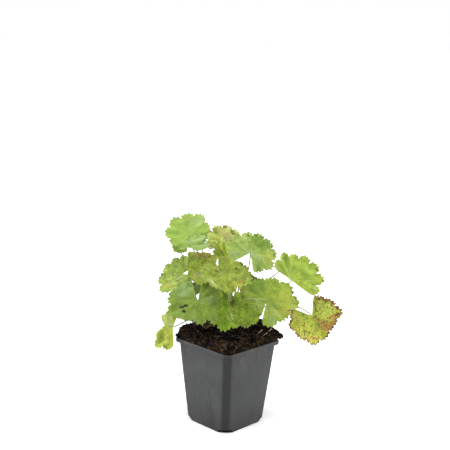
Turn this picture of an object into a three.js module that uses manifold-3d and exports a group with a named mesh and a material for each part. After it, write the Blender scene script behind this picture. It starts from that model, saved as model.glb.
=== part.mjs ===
// A young lady's mantle (Alchemilla mollis) growing in a square black plastic pot.
// Millimetres, +Z up. The origin is the centre of the pot's base, on the ground.
// The pot's walls run along X and Y. The plant's fullest side faces +X -Y.

import * as THREE from 'three';
import { mergeVertices } from 'three/addons/utils/BufferGeometryUtils.js';
import Module from 'manifold-3d';

const wasm = await Module();
wasm.setup();

// Pot: nine centimetres square at the rim, ten high.
const POT_HEIGHT = 100;
const RIM_WIDTH = 90;
const RIM_BAND = 4.5;
const RIM_CUT = 4.6;
const BODY_TOP = 86.2;
const BODY_BOTTOM = 68.6;
const BODY_CUT = 7.2;
const WALL = 1.3;
const FLOOR = 1.8;
const DRAIN_HEIGHT = 4.6;

// Compost: a heaped root ball that stands above the rim.
const GAP = 0.3;
const SOIL_BOTTOM = FLOOR + GAP;
const SOIL_EDGE = 100.7;
const SOIL_HEAP = 16;
const SPILL_HALF = 44;
const SPILL_CORNER = 5;
const SOIL_HALF = 41.2;
const SOIL_CORNER = 8.6;

// Crown: the woody rootstock that all the leaf stalks rise from.
const CROWN_X = 0;
const CROWN_Y = 4;
const CROWN_BASE = 105.5;
const CROWN_TOP = 119;
const CROWN_RADIUS = 13;
const STALK_START = 110;
const STALK_RADIUS = 0.95;

// Leaf blades.
const BLADE = 0.7;
const NOTCH = 0.13;
const TOOTH = 0.075;
const PLEAT = 0.032;

const rad = THREE.MathUtils.degToRad;

const looks = {
  pot: { color: 0x333436, roughness: 0.62, metalness: 0 },
  soil: { color: 0x1c1510, roughness: 1, metalness: 0 },
  crown: { color: 0x4a3322, roughness: 0.9, metalness: 0 },
  lime: { color: 0x9dc34a, roughness: 0.6, metalness: 0 },
  green: { color: 0x7c9c44, roughness: 0.6, metalness: 0 },
  yellow: { color: 0xa8ac4c, roughness: 0.65, metalness: 0 },
  withered: { color: 0x5a3826, roughness: 0.9, metalness: 0 },
  straw: { color: 0xb59a74, roughness: 0.8, metalness: 0 },
};

// Each leaf: the hub where its stalk joins the blade, the way the upper face looks
// (azimuth and elevation in degrees), the turn of the midrib from straight downhill,
// the blade's radius, and where its stalk leaves the crown (angle and distance).
// reach lengthens or shortens the lobes in turn, clockwise edge first.
const leaves = [
  { name: 'leaf_01', look: 'lime', hub: [-30, -37, 223], face: [-58, 36, -166], radius: 27,
    sinus: 22, cup: 0.06, seed: 1, root: [-118, 4],
    reach: [0.9, 0.88, 1.02, 1.12, 1.02, 1.14, 1.14, 0.92, 0.82] },
  { name: 'leaf_02', look: 'lime', hub: [-52, -32, 206], face: [-66, 30, -30], radius: 11,
    lobes: 7, teeth: 3, seed: 2, reach: [1, 0.75, 0.8, 0.8, 0.85, 1.25, 1.2], root: [-153, 10.8],
    arrive: [0.25, 0.1, -0.95] },
  { name: 'leaf_03', look: 'green', hub: [-7, -43, 219], face: [-38, 66, -60], radius: 17,
    lobes: 7, teeth: 3, droop: 20, seed: 7,
    reach: [1, 1, 1, 1, 0.86, 0.74, 0.86], root: [140, 4], arrive: [-0.25, 0.55, -0.75] },
  { name: 'leaf_04', look: 'yellow', hub: [-18, 11, 205], face: [-41, 36, 174], radius: 28,
    lobes: 7, sinus: 150, cup: 0.05, seed: 8, root: [-66, 4], arrive: [-0.05, 0.27, -0.95],
    reach: [0.8, 0.85, 0.95, 1.02, 1.05, 1.15, 0.92] },
  { name: 'leaf_05', look: 'green', hub: [10.5, -8.5, 189], face: [-80, 16, -133], radius: 34,
    sinus: 316, lobes: 3, teeth: 3, pleat: 0.06, seed: 19, reach: [1, 1.04, 0.95], root: [-15, 4] },
  { name: 'leaf_06', look: 'green', hub: [12, 21, 202], face: [-34, 36, 150], radius: 32,
    sinus: 66, basal: 0.05, cup: -0.06, seed: 2, arrive: [0.02, 0.02, -1], root: [37, 4],
    reach: [0.82, 1.04, 1.02, 1.0, 0.92, 0.87, 0.95, 1.02, 1.06] },
  { name: 'leaf_07', look: 'lime', hub: [44.8, 57.8, 169.8], face: [-28, 25, 141], radius: 32,
    sinus: 176, lobes: 7, cup: 0.05, seed: 3, notch: 0.16, root: [38, 7.3],
    reach: [1.29, 1.36, 1.25, 1.17, 1.03, 1.16, 1.05] },
  { name: 'leaf_08', look: 'green', hub: [57, 2, 159], face: [-36, 34, 161], radius: 32,
    sinus: 5, basal: 0.1, cup: -0.05, seed: 4, notch: 0.12, root: [-8, 7.3],
    reach: [1.08, 1.0, 1.24, 1.15, 0.9, 0.86, 1.02, 0.98, 0.76] },
  { name: 'leaf_09', look: 'yellow', hub: [81, 54, 136], face: [-46, 25, 34], radius: 30,
    sinus: 74, basal: 0.05, fold: 22, seed: 6, notch: 0.09, root: [22, 10.8],
    reach: [0.88, 1.08, 1.08, 1.18, 1.02, 0.94, 1.17, 0.96, 0.84] },
  { name: 'leaf_10', look: 'green', hub: [6, -55, 157], face: [-56, 40, 13], radius: 35,
    basal: 0.1, cup: -0.08, seed: 5, sinus: 24, root: [-80, 10.8],
    reach: [1.04, 1.13, 1.1, 0.74, 0.8, 0.87, 0.8, 0.82, 0.88] },
  { name: 'leaf_11', look: 'yellow', hub: [24, -36, 189], face: [-40, 58, 16], radius: 28,
    basal: 0.1, wave: 0.13, sinus: 8, seed: 10, root: [-56, 7.3],
    reach: [0.95, 0.95, 1, 1, 1.02, 1.1, 1.0, 0.95, 0.95] },
  { name: 'leaf_12', look: 'yellow', hub: [-4, -37, 188], face: [-60, 42, -61], radius: 19,
    lobes: 7, teeth: 3, basal: 0.1, wave: 0.14, seed: 20, root: [-92, 7.3] },
  { name: 'leaf_13', look: 'lime', hub: [50, -28, 150], face: [-38, 45, 4], radius: 21,
    sinus: 14, seed: 11, root: [-26, 10.8], arrive: [-0.25, 1, -0.1],
    reach: [0.62, 0.85, 1, 1, 1, 1, 1, 0.85, 0.62] },
  { name: 'leaf_14', look: 'green', hub: [24, -24, 152], face: [-54, 12, -8], radius: 27,
    seed: 12, root: [-48, 10.8], reach: [1.0, 0.9, 1, 1.1, 1.19, 1.05, 0.78, 0.62, 0.8] },
  { name: 'leaf_15', look: 'yellow', hub: [-33, -44, 178], face: [-71, 40, -65], radius: 30,
    basal: 0.1, fold: 10, seed: 13, root: [-120, 7.3],
    reach: [0.85, 0.8, 0.75, 0.8, 0.97, 1.1, 0.88, 0.7, 0.7] },
  { name: 'leaf_16', look: 'yellow', hub: [-32, -16, 191], face: [-51, 42, -170], radius: 20,
    lobes: 7, teeth: 3, seed: 14, reach: [1.1, 1.1, 0.6, 0.52, 0.86, 1, 1], root: [-152, 7.3] },
  { name: 'leaf_17', look: 'yellow', hub: [-43.3, -47.3, 113], face: [-71, 20, -90], radius: 24,
    sinus: 140, lobes: 7, fold: 10, seed: 15, root: [-138, 10.8], arrive: [0.7, 0.6, 0.35],
    reach: [0.87, 0.9, 0.87, 0.46, 0.88, 1.37, 1.28] },
  { name: 'leaf_18', look: 'yellow', hub: [-25, -41, 133], face: [-61, 66, -43], radius: 17,
    lobes: 7, teeth: 3, seed: 16, reach: [1, 1, 1, 1, 0.85, 1, 1], root: [-108, 10.8] },
  { name: 'leaf_19', look: 'green', hub: [11.6, 6.8, 173], face: [-16, 22, 150], radius: 16,
    lobes: 7, teeth: 3, seed: 17, reach: [1.15, 1, 1, 1, 1, 1, 1.15], sinus: 24, root: [88, 4] },
  { name: 'leaf_20', look: 'green', hub: [-14, 54, 149], face: [104, 40, -125], radius: 27,
    teeth: 3, seed: 21, root: [98, 7.3] },
  { name: 'leaf_21', look: 'green', hub: [-48, 16, 152], face: [159, 45, 124], radius: 28,
    teeth: 3, seed: 22, root: [170, 7.3] },
  { name: 'leaf_22', look: 'green', hub: [-54, 58, 160], face: [134, 35, -2], radius: 25,
    teeth: 3, seed: 23, root: [136, 7.3] },
  { name: 'leaf_23', look: 'green', hub: [14, 53, 133], face: [64, 30, -106], radius: 21,
    lobes: 7, teeth: 3, seed: 24, root: [58, 10.8] },
  { name: 'leaf_24', look: 'green', hub: [-54, -11, 137], face: [-166, 30, 101], radius: 22,
    lobes: 7, teeth: 3, seed: 25, root: [-168, 10.8] },
  { name: 'leaf_25', look: 'green', hub: [-44, 58, 123], face: [129, 25, 1], radius: 27,
    teeth: 3, seed: 26, root: [126, 10.8] },
  { name: 'leaf_26', look: 'lime', hub: [27, 66, 184], face: [-26, 25, 124], radius: 9,
    lobes: 5, teeth: 3, seed: 27, root: [68, 7.3], arrive: [-0.27, -0.5, -0.82] },
];

// Two withered leaves with short stalks of their own in the compost: where the stalk
// stands, where it starts and where it leaves the ground.
const withered = [
  { name: 'withered_leaf_1', look: 'withered', hub: [-5, -27, 123], face: [-66, 50, -57], radius: 8,
    lobes: 5, teeth: 2, sinus: 70, cup: 0.3, wave: 0.2, pleat: 0.1, seed: 31, foot: [-3, -20, 112, 118.5] },
  { name: 'withered_leaf_2', look: 'withered', hub: [-22, -33, 123], face: [-26, 30, 142], radius: 5.5,
    lobes: 5, teeth: 2, sinus: 70, cup: 0.3, wave: 0.2, pleat: 0.1, seed: 32, foot: [-23, -27, 111, 118] },
];

// Loose or dead pieces that stand or lie in the compost: a path and a radius.
const sticks = [
  { name: 'dead_stalk', look: 'withered', radius: 1.7,
    path: [[23, 22, 110], [24, 23.5, 119], [24.5, 25.5, 127], [23, 28, 134]] },
  { name: 'straw_1', look: 'straw', radius: 0.6,
    path: [[37.8, 4, 110.4], [37.2, 12, 113.7], [36.8, 21, 116.4]] },
  { name: 'straw_2', look: 'straw', radius: 0.6,
    path: [[40.8, 13.5, 108.4], [40.7, 24, 112.3], [38.8, 33, 114.6]] },
];

// Turns a closed geometry into a solid that can be joined and cut.
function solid(geometry) {
  const bare = geometry.index ? geometry.clone() : geometry;
  bare.deleteAttribute('normal');
  bare.deleteAttribute('uv');
  const merged = mergeVertices(bare, 1e-4);
  return new wasm.Manifold(new wasm.Mesh({
    numProp: 3,
    vertProperties: Float32Array.from(merged.attributes.position.array),
    triVerts: Uint32Array.from(merged.index.array),
  }));
}

function geometryOf(body) {
  const mesh = body.getMesh();
  const geometry = new THREE.BufferGeometry();
  geometry.setAttribute('position', new THREE.BufferAttribute(mesh.vertProperties, 3));
  geometry.setIndex(Array.from(mesh.triVerts));
  return geometry;
}

function part(name, look, body) {
  const geometry = geometryOf(body);
  geometry.computeVertexNormals();
  const mesh = new THREE.Mesh(geometry, new THREE.MeshStandardMaterial(looks[look]));
  mesh.name = name;
  return mesh;
}

// A square outline with its corners cut off, eight points, counter-clockwise.
function cutSquare(width, cut) {
  const h = width / 2;
  const k = h - cut;
  return [[h, -k], [h, k], [k, h], [-k, h], [-h, k], [-h, -k], [-k, -h], [k, -h]];
}

// A closed body through a stack of outlines that have the same number of points.
// Each level is a list of [x, y, z]; both ends are closed flat by a fan.
function stack(levels) {
  const count = levels[0].length;
  const points = levels.flat(2);
  const index = [];
  for (let i = 0; i < levels.length - 1; i += 1) {
    for (let j = 0; j < count; j += 1) {
      const a = i * count + j;
      const b = i * count + (j + 1) % count;
      index.push(a, b, b + count, a, b + count, a + count);
    }
  }
  const last = (levels.length - 1) * count;
  for (let j = 1; j < count - 1; j += 1) {
    index.push(0, j + 1, j);
    index.push(last, last + j, last + j + 1);
  }
  const geometry = new THREE.BufferGeometry();
  geometry.setAttribute('position', new THREE.Float32BufferAttribute(points, 3));
  geometry.setIndex(index);
  return geometry;
}

function level(width, cut, z) {
  return cutSquare(width, cut).map(([x, y]) => [x, y, z]);
}

function potWidth(z) {
  return BODY_BOTTOM + (BODY_TOP - BODY_BOTTOM) * z / (POT_HEIGHT - RIM_BAND);
}

// The pot: tapered walls with cut corners, a stepped rim band with a groove under it,
// and a drain notch at the foot of each corner.
function makePot() {
  const under = POT_HEIGHT - RIM_BAND;
  let pot = solid(stack([
    level(BODY_BOTTOM, BODY_CUT, 0),
    level(BODY_TOP, BODY_CUT, under),
    level(RIM_WIDTH, RIM_CUT, under + 0.001),
    level(RIM_WIDTH, RIM_CUT, POT_HEIGHT),
  ]));
  const inner = solid(stack([
    level(potWidth(FLOOR) - 2 * WALL, BODY_CUT, FLOOR),
    level(potWidth(under) - 2 * WALL, BODY_CUT, under),
    level(potWidth(under) - 2 * WALL + 1, BODY_CUT, POT_HEIGHT + 1),
  ]));
  const groove = solid(stack([
    level(RIM_WIDTH - 2.4, RIM_CUT, under - 1),
    level(RIM_WIDTH - 2.4, RIM_CUT, under + 3.2),
  ])).subtract(solid(stack([
    level(BODY_TOP, BODY_CUT, under - 2),
    level(BODY_TOP, BODY_CUT, under + 4),
  ])));
  pot = pot.subtract(inner).subtract(groove);
  for (let k = 0; k < 4; k += 1) pot = pot.subtract(drainNotch(k));
  return pot;
}

// A wedge across one bottom corner, wider at the ground than at its top.
function drainNotch(k) {
  const shape = new THREE.Shape();
  shape.moveTo(-10.5, -1);
  shape.lineTo(10.5, -1);
  shape.lineTo(7, DRAIN_HEIGHT);
  shape.lineTo(-7, DRAIN_HEIGHT);
  const wedge = new THREE.ExtrudeGeometry(shape, { depth: 9, bevelEnabled: false });
  wedge.rotateX(Math.PI / 2);
  wedge.translate(0, 4.5, 0);
  wedge.rotateZ(-Math.PI / 4);
  wedge.translate(BODY_BOTTOM / 2 - 3.4, BODY_BOTTOM / 2 - 3.4, 0);
  wedge.rotateZ(k * Math.PI / 2);
  return solid(wedge);
}

// How far a square outline with cut corners reaches from the middle in one direction.
function outlineAt(c, s, half, cut) {
  const across = half / Math.max(Math.abs(c), Math.abs(s));
  return Math.min(across, (2 * half - cut) / (Math.abs(c) + Math.abs(s)));
}

function heap(x, y, cx, cy, height, spread) {
  return height * Math.exp(-((x - cx) ** 2 + (y - cy) ** 2) / spread ** 2);
}

// Height of the compost: steep at the edge, nearly flat in the middle, with a heap
// towards two opposite corners and shallow lumps.
function soilHeight(x, y, share) {
  let z = SOIL_EDGE + SOIL_HEAP * Math.sqrt(Math.max(0, 1 - share ** 4));
  z += heap(x, y, -35, -35, 3, 10) + heap(x, y, 28, 28, 8, 13);
  z += 0.7 * Math.sin(0.31 * x + 1.1) * Math.sin(0.27 * y + 0.4);
  z += 0.5 * Math.sin(0.63 * x - 0.5 * y + 2);
  return Math.max(z, SOIL_EDGE);
}

// One level of the compost inside the pot.
function soilLevel(share, sides, z) {
  return around(sides, (c, s) => {
    const r = share * outlineAt(c, s, SOIL_HALF, SOIL_CORNER);
    return [r * c, r * s, z];
  });
}

// One level of its free surface, which spills over the rim with a ragged edge.
function surfaceLevel(share, sides) {
  return around(sides, (c, s, j) => {
    const ragged = 1 - 0.03 * (0.5 + 0.5 * Math.sin(2.4 * j + 1)) * share ** 8;
    const r = share * ragged * outlineAt(c, s, SPILL_HALF, SPILL_CORNER);
    return [r * c, r * s, share === 1 ? POT_HEIGHT + GAP : soilHeight(r * c, r * s, share)];
  });
}

function around(sides, place) {
  const ring = [];
  for (let j = 0; j < sides; j += 1) {
    const a = 2 * Math.PI * j / sides;
    ring.push(place(Math.cos(a), Math.sin(a), j));
  }
  return ring;
}

function lump(x, y, z, r, flat) {
  const ball = new THREE.IcosahedronGeometry(r, 1);
  ball.scale(1, 1, flat);
  ball.translate(x, y, z);
  return solid(ball);
}

// The compost, with lumps over one corner of the rim and a pocket for the crown.
function makeSoil() {
  const sides = 32;
  const floorShare = (potWidth(SOIL_BOTTOM) / 2 - WALL - GAP - 0.15) / SOIL_HALF;
  const levels = [soilLevel(floorShare, sides, SOIL_BOTTOM), soilLevel(1, sides, POT_HEIGHT - RIM_BAND)];
  levels.push(soilLevel(1, sides, POT_HEIGHT + GAP));
  for (const share of [1, 0.985, 0.93, 0.85, 0.72, 0.52, 0.34]) {
    levels.push(surfaceLevel(share, sides));
  }
  let soil = solid(stack(levels));
  soil = soil.add(lump(34.5, 34.5, 111, 7, 0.8)).add(lump(39.5, 39.5, 107.2, 6, 0.85));
  soil = soil.add(lump(43.4, 43.2, 105.2, 4.2, 0.8)).add(lump(25.5, 27, 121.5, 5.5, 0.8));
  soil = soil.subtract(drum(CROWN_X, CROWN_Y, CROWN_RADIUS + 0.5, CROWN_BASE - GAP, 140, 16));
  for (const leaf of withered) {
    const [x, y, z] = leaf.foot;
    soil = soil.subtract(drum(x, y, STALK_RADIUS + 0.55, z - GAP, 140, 6));
  }
  for (const stick of sticks) {
    soil = soil.subtract(solid(rod(roomFor(stick.path), stick.radius + 0.45, 6)));
  }
  return soil;
}

// A path made a little longer at both ends.
function roomFor(path) {
  const points = path.map((p) => new THREE.Vector3(...p));
  const last = points.length - 1;
  const first = points[0].clone().sub(points[1]).setLength(2 * GAP);
  const end = points[last].clone().sub(points[last - 1]).setLength(2 * GAP);
  points[0].add(first);
  points[last].add(end);
  return points;
}

function drum(x, y, r, z0, z1, sides) {
  const body = new THREE.CylinderGeometry(r, r, z1 - z0, sides);
  body.rotateX(Math.PI / 2);
  body.translate(x, y, (z0 + z1) / 2);
  return solid(body);
}

// Stalk stubs on the crown: direction in degrees, distance from its middle, height.
const STUBS = [[-64, 11.6, 2.5], [-4, 11.6, 3], [42, 11.6, 2.5], [92, 11.4, 4], [152, 11.6, 3]];

// The crown: a low woody dome with cut stalk stubs, and a plain hole for each stalk.
function makeCrown() {
  const profile = [[0, CROWN_BASE], [CROWN_RADIUS - 1, CROWN_BASE], [CROWN_RADIUS, CROWN_BASE + 1],
    [CROWN_RADIUS, 115.5], [11.6, 117.6], [7, CROWN_TOP], [0, CROWN_TOP + 0.6]];
  const dome = new THREE.LatheGeometry(profile.map(([r, z]) => new THREE.Vector2(r, z)), 16);
  dome.rotateX(Math.PI / 2);
  dome.translate(CROWN_X, CROWN_Y, 0);
  let crown = solid(dome);
  for (const [angle, out, tall] of STUBS) {
    crown = crown.add(stub(angle, out, tall));
  }
  for (const leaf of leaves) {
    const [x, y] = rootOf(leaf);
    crown = crown.subtract(drum(x, y, STALK_RADIUS + 0.6, STALK_START - 0.5, 140, 6));
  }
  return crown;
}

function stub(angle, out, tall) {
  const body = new THREE.CylinderGeometry(0.7, 1.2, tall + 4, 6);
  body.rotateX(Math.PI / 2);
  body.translate(0, 0, tall / 2);
  body.rotateY(rad(14));
  body.translate(out, 0, 116);
  body.rotateZ(rad(angle));
  body.translate(CROWN_X, CROWN_Y, 0);
  return solid(body);
}

function rootOf(leaf) {
  const [angle, out] = leaf.root;
  return [CROWN_X + out * Math.cos(rad(angle)), CROWN_Y + out * Math.sin(rad(angle))];
}

// Share of the radius at a place t along the edge, counted in lobes.
function edgeShare(leaf, t, rho) {
  const i = Math.min(Math.max(Math.floor(t), 0), leaf.lobes - 1);
  const s = (t - i) * 2 - 1;
  const phi = edgeAngle(leaf, t);
  const basal = 1 - leaf.basal * (phi / leaf.half) ** 2;
  const notch = leaf.notch * Math.abs(s) ** 2.6;
  const valley = Math.abs(((s + 1) / 2 * leaf.teeth) % 1 - 0.5) * 2;
  const smooth = basal * (1 - notch * rho * rho);
  const toothed = basal * (1 - notch) * (1 - TOOTH * valley);
  const fine = rho ** 6;
  return (smooth * (1 - fine) + toothed * fine) * lobeReach(leaf, t);
}

function lobeReach(leaf, t) {
  if (!leaf.reach) return 1;
  const u = Math.min(Math.max(t - 0.5, 0), leaf.lobes - 1);
  const i = Math.min(Math.floor(u), leaf.lobes - 2);
  return leaf.reach[i] + (leaf.reach[i + 1] - leaf.reach[i]) * (u - i);
}

function edgeAngle(leaf, t) {
  return -leaf.half + 2 * leaf.half * t / leaf.lobes;
}

// A point of the blade's middle surface in the blade's own frame: the midrib runs
// along x and z is its upper side.
function bladePoint(leaf, rho, t) {
  const R = leaf.radius;
  const phi = edgeAngle(leaf, t);
  const i = Math.min(Math.max(Math.floor(t), 0), leaf.lobes - 1);
  const s = (t - i) * 2 - 1;
  const q = rho * edgeShare(leaf, t, rho);
  const x = R * q * Math.cos(phi);
  const y = R * q * Math.sin(phi);
  let z = leaf.cup * R * q * q;
  z -= leaf.pleat * R * Math.cos(Math.PI * s) * q * (1.1 - 0.35 * q);
  z += leaf.wave * R * q ** 2.2 * (Math.sin(2 * phi + 1.7 * leaf.seed)
    + 0.6 * Math.sin(3 * phi + 2.9 * leaf.seed + 1));
  z += Math.tan(rad(leaf.fold)) * (Math.hypot(y, 0.12 * R) - 0.12 * R);
  return droop([x, y, z], rad(leaf.droop) / R);
}

// Bends the blade down to both sides of its midrib.
function droop([x, y, z], k) {
  if (k === 0) return [x, y, z];
  return [x, (1 / k + z) * Math.sin(k * y), (1 / k + z) * Math.cos(k * y) - 1 / k];
}

// The blade's axes in the object: upper side, midrib and the direction across.
function leafAxes(leaf) {
  const [az, el, roll] = leaf.face.map(rad);
  const up = new THREE.Vector3(Math.cos(el) * Math.cos(az), Math.cos(el) * Math.sin(az), Math.sin(el));
  const down = new THREE.Vector3(0, 0, -1);
  down.addScaledVector(up, -down.dot(up)).normalize();
  const side = new THREE.Vector3().crossVectors(up, down);
  const mid = down.multiplyScalar(Math.cos(roll)).addScaledVector(side, Math.sin(roll));
  return { up, mid, across: new THREE.Vector3().crossVectors(up, mid) };
}

// Rows of points from the hub to the toothed edge, each with its place t.
function bladeRows(leaf) {
  const n = leaf.lobes;
  const centres = [0];
  for (let i = 0; i < n; i += 1) centres.push(i + 0.5);
  centres.push(n);
  const every = (step) => {
    const list = [];
    for (let i = 0; i <= n / step + 0.01; i += 1) list.push(i * step);
    return list;
  };
  const rows = [
    { rho: 0, ts: [0] },
    { rho: 0.22, ts: centres },
    { rho: 0.55, ts: every(0.5) },
    { rho: 1, ts: every(0.5 / leaf.teeth) },
  ];
  if (leaf.radius > 20) rows.splice(3, 0, { rho: 0.82, ts: every(0.5) });
  return rows;
}

// Triangles between two rows whose points stand at different places.
function zip(ta, a, tb, b, out) {
  let i = 0;
  let j = 0;
  while (i < ta.length - 1 || j < tb.length - 1) {
    if (j < tb.length - 1 && (i === ta.length - 1 || tb[j + 1] <= ta[i + 1] + 1e-6)) {
      out.push([a + i, b + j, b + j + 1]);
      j += 1;
    } else {
      out.push([a + i, b + j, a + i + 1]);
      i += 1;
    }
  }
}

// The blade: one sheet of triangles, given its thickness along the sheet's normals,
// so both faces are split alike.
function bladeGeometry(leaf) {
  const rows = bladeRows(leaf);
  const { up, mid, across } = leafAxes(leaf);
  const sheet = [];
  const starts = [];
  for (const row of rows) {
    starts.push(sheet.length);
    for (const t of row.ts) {
      const [x, y, z] = bladePoint(leaf, row.rho, t);
      sheet.push(new THREE.Vector3(...leaf.hub)
        .addScaledVector(mid, x).addScaledVector(across, y).addScaledVector(up, z));
    }
  }
  const faces = [];
  for (let k = 1; k < rows.length; k += 1) {
    zip(rows[k - 1].ts, starts[k - 1], rows[k].ts, starts[k], faces);
  }
  return thicken(sheet, faces, border(rows, starts));
}

function border(rows, starts) {
  const loop = [0];
  for (let k = 1; k < rows.length; k += 1) loop.push(starts[k]);
  const last = rows.length - 1;
  for (let j = 1; j < rows[last].ts.length; j += 1) loop.push(starts[last] + j);
  for (let k = last - 1; k > 0; k -= 1) loop.push(starts[k] + rows[k].ts.length - 1);
  return loop;
}

function thicken(sheet, faces, loop) {
  const normals = sheet.map(() => new THREE.Vector3());
  for (const [a, b, c] of faces) {
    const n = sheet[b].clone().sub(sheet[a]).cross(sheet[c].clone().sub(sheet[a]));
    for (const v of [a, b, c]) normals[v].add(n);
  }
  const points = [];
  for (const side of [0.5, -0.5]) {
    sheet.forEach((p, v) => {
      points.push(...p.clone().addScaledVector(normals[v].normalize(), side * BLADE).toArray());
    });
  }
  const index = [];
  const n = sheet.length;
  for (const [a, b, c] of faces) index.push(a, b, c, c + n, b + n, a + n);
  loop.forEach((p, k) => {
    const q = loop[(k + 1) % loop.length];
    index.push(q, p, p + n, q, p + n, q + n);
  });
  const geometry = new THREE.BufferGeometry();
  geometry.setAttribute('position', new THREE.Float32BufferAttribute(points, 3));
  geometry.setIndex(index);
  return geometry;
}

// The stalk rises straight out of the crown and bends over to meet the hub from the
// blade's underside.
function stalkCurve(leaf) {
  const [x, y, start, ground] = leaf.foot || [...rootOf(leaf), STALK_START, CROWN_TOP + 1];
  const foot = new THREE.Vector3(x, y, start);
  const neck = new THREE.Vector3(x, y, ground);
  const hub = new THREE.Vector3(...leaf.hub);
  const span = hub.distanceTo(neck);
  const out = new THREE.Vector3(x - CROWN_X, y - CROWN_Y, 0).normalize();
  const { up, mid } = leafAxes(leaf);
  const arrive = leaf.arrive ? new THREE.Vector3(...leaf.arrive)
    : up.clone().multiplyScalar(-leaf.under).addScaledVector(mid, -0.8);
  const first = neck.clone().addScaledVector(out, 0.06 * span);
  first.z += leaf.lift * span;
  const second = hub.clone().addScaledVector(arrive.normalize(), 0.35 * span);
  const path = new THREE.CurvePath();
  path.add(new THREE.LineCurve3(foot, neck));
  path.add(new THREE.CubicBezierCurve3(neck, first, second, hub));
  return path;
}

function stalkGeometry(leaf) {
  const path = stalkCurve(leaf);
  const points = [path.curves[0].v1];
  const steps = leaf.foot ? 3 : 7;
  for (let i = 0; i <= steps; i += 1) points.push(path.curves[1].getPoint(i / steps));
  return rod(points, STALK_RADIUS, 5);
}

// A round rod through a list of points.
function rod(points, radius, sides) {
  const curve = new Bends(points, false, 'centripetal');
  const section = new THREE.Shape();
  for (let k = 0; k < sides; k += 1) {
    const a = 2 * Math.PI * k / sides;
    const x = radius * Math.cos(a);
    const y = radius * Math.sin(a);
    if (k === 0) section.moveTo(x, y);
    else section.lineTo(x, y);
  }
  return new THREE.ExtrudeGeometry(section, { steps: points.length - 1, extrudePath: curve });
}

// A smooth path that a rod follows with one section at each of its own points.
class Bends extends THREE.CatmullRomCurve3 {
  getPointAt(t, target) {
    return this.getPoint(t, target);
  }

  getTangentAt(t, target) {
    return this.getTangent(t, target);
  }
}

function makeLeaf(given) {
  const leaf = {
    lobes: 9, teeth: 4, sinus: 36, basal: 0.16, cup: 0.1, wave: 0.05, fold: 0, droop: 0,
    notch: NOTCH, pleat: PLEAT, lift: 0.5, under: 0.6, ...given,
  };
  leaf.half = Math.PI - rad(leaf.sinus) / 2;
  return solid(bladeGeometry(leaf)).add(solid(stalkGeometry(leaf)));
}

const plant = new THREE.Group();
plant.add(part('pot', 'pot', makePot()));
plant.add(part('soil', 'soil', makeSoil()));
plant.add(part('crown', 'crown', makeCrown()));
for (const leaf of [...leaves, ...withered]) {
  plant.add(part(leaf.name, leaf.look, makeLeaf(leaf)));
}
for (const stick of sticks) {
  const points = stick.path.map((p) => new THREE.Vector3(...p));
  plant.add(part(stick.name, stick.look, solid(rod(points, stick.radius, 6))));
}

export default plant;
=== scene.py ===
"""A young lady's mantle in a square black nursery pot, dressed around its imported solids.

The frame is that of the solids: the origin is the centre of the pot's base, +Z is up and
the pot's walls run along X and Y. Sizes are in millimetres, and MM makes them metres.
"""

import math

import bpy
import numpy as np
from mathutils import Matrix, Quaternion, Vector, noise


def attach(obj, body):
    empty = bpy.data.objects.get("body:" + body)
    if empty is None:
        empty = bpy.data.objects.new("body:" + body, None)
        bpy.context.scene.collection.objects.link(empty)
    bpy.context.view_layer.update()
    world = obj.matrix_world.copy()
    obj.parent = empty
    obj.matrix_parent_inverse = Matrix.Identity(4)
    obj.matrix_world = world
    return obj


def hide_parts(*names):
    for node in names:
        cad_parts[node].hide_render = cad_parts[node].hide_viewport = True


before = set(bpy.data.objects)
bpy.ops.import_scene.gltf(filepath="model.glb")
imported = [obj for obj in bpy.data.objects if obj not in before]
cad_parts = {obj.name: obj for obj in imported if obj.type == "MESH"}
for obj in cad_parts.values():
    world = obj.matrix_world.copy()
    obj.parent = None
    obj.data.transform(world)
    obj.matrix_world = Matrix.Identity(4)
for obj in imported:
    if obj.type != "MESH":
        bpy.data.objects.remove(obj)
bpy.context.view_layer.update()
MM = 0.001

# The camera, as in the photograph: its place in metres, its lens and film in millimetres,
# and the photograph's width in pixels.
CAMERA_PLACE = (0.7004, -0.7231, 0.4399)
CAMERA_FORWARD = (-0.68659, 0.69927, -0.19904)
CAMERA_RIGHT = (0.70903, 0.70456, 0.02945)
CAMERA_LENS = 72
CAMERA_FILM = 36
PHOTO_WIDTH = 450

# The studio's lights: azimuth, height and spread in degrees, and strength.
LIGHTS = {
    "top_light": (-60, 72, 40, 2.9),
    "left_light": (-138, 26, 50, 4.6),
    "right_light": (44, 26, 50, 4.6),
}
# The floor's width in metres, and its grey.
FLOOR_WIDTH = 200
FLOOR_GREY = 0.6
# How much brighter the studio lights a surface than its own colour.
STUDIO_LIGHT = 2.5

# Pot.
POT_HEIGHT = 100
RIM_WIDTH = 90
RIM_BAND = 4.5
RIM_CUT = 4.6
BODY_TOP = 86.2
BODY_BOTTOM = 68.6
BODY_CUT = 7.2
WALL = 1.3
SOFT_EDGE = 2.4
POT_FLOOR = 1.8
POT_ROUNDING = 0.45
POT_POINTS = 24
DRAIN_HEIGHT = 4.6
DRAIN_HALF_FOOT = 10.5
DRAIN_HALF_TOP = 7
DRAIN_DEPTH = 9
DRAIN_INSET = 3.4

# Compost.
SOIL_BOTTOM = 2.1
SOIL_LIP = POT_HEIGHT + 0.3
SOIL_EDGE = 100.7
SOIL_HEAP = 16
SOIL_HALF = 41.2
SOIL_CORNER = 8.6
SOIL_CLEARANCE = 0.45
SPILL_HALF = 44
SPILL_CORNER = 5
SOIL_ROWS = 100
SOIL_COLUMNS = 300
HEAP_ROW = 4
# Small heaps in two corners: middle, height and spread.
HEAPS = [(-35, -35, 3, 10), (28, 28, 8, 13)]
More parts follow.
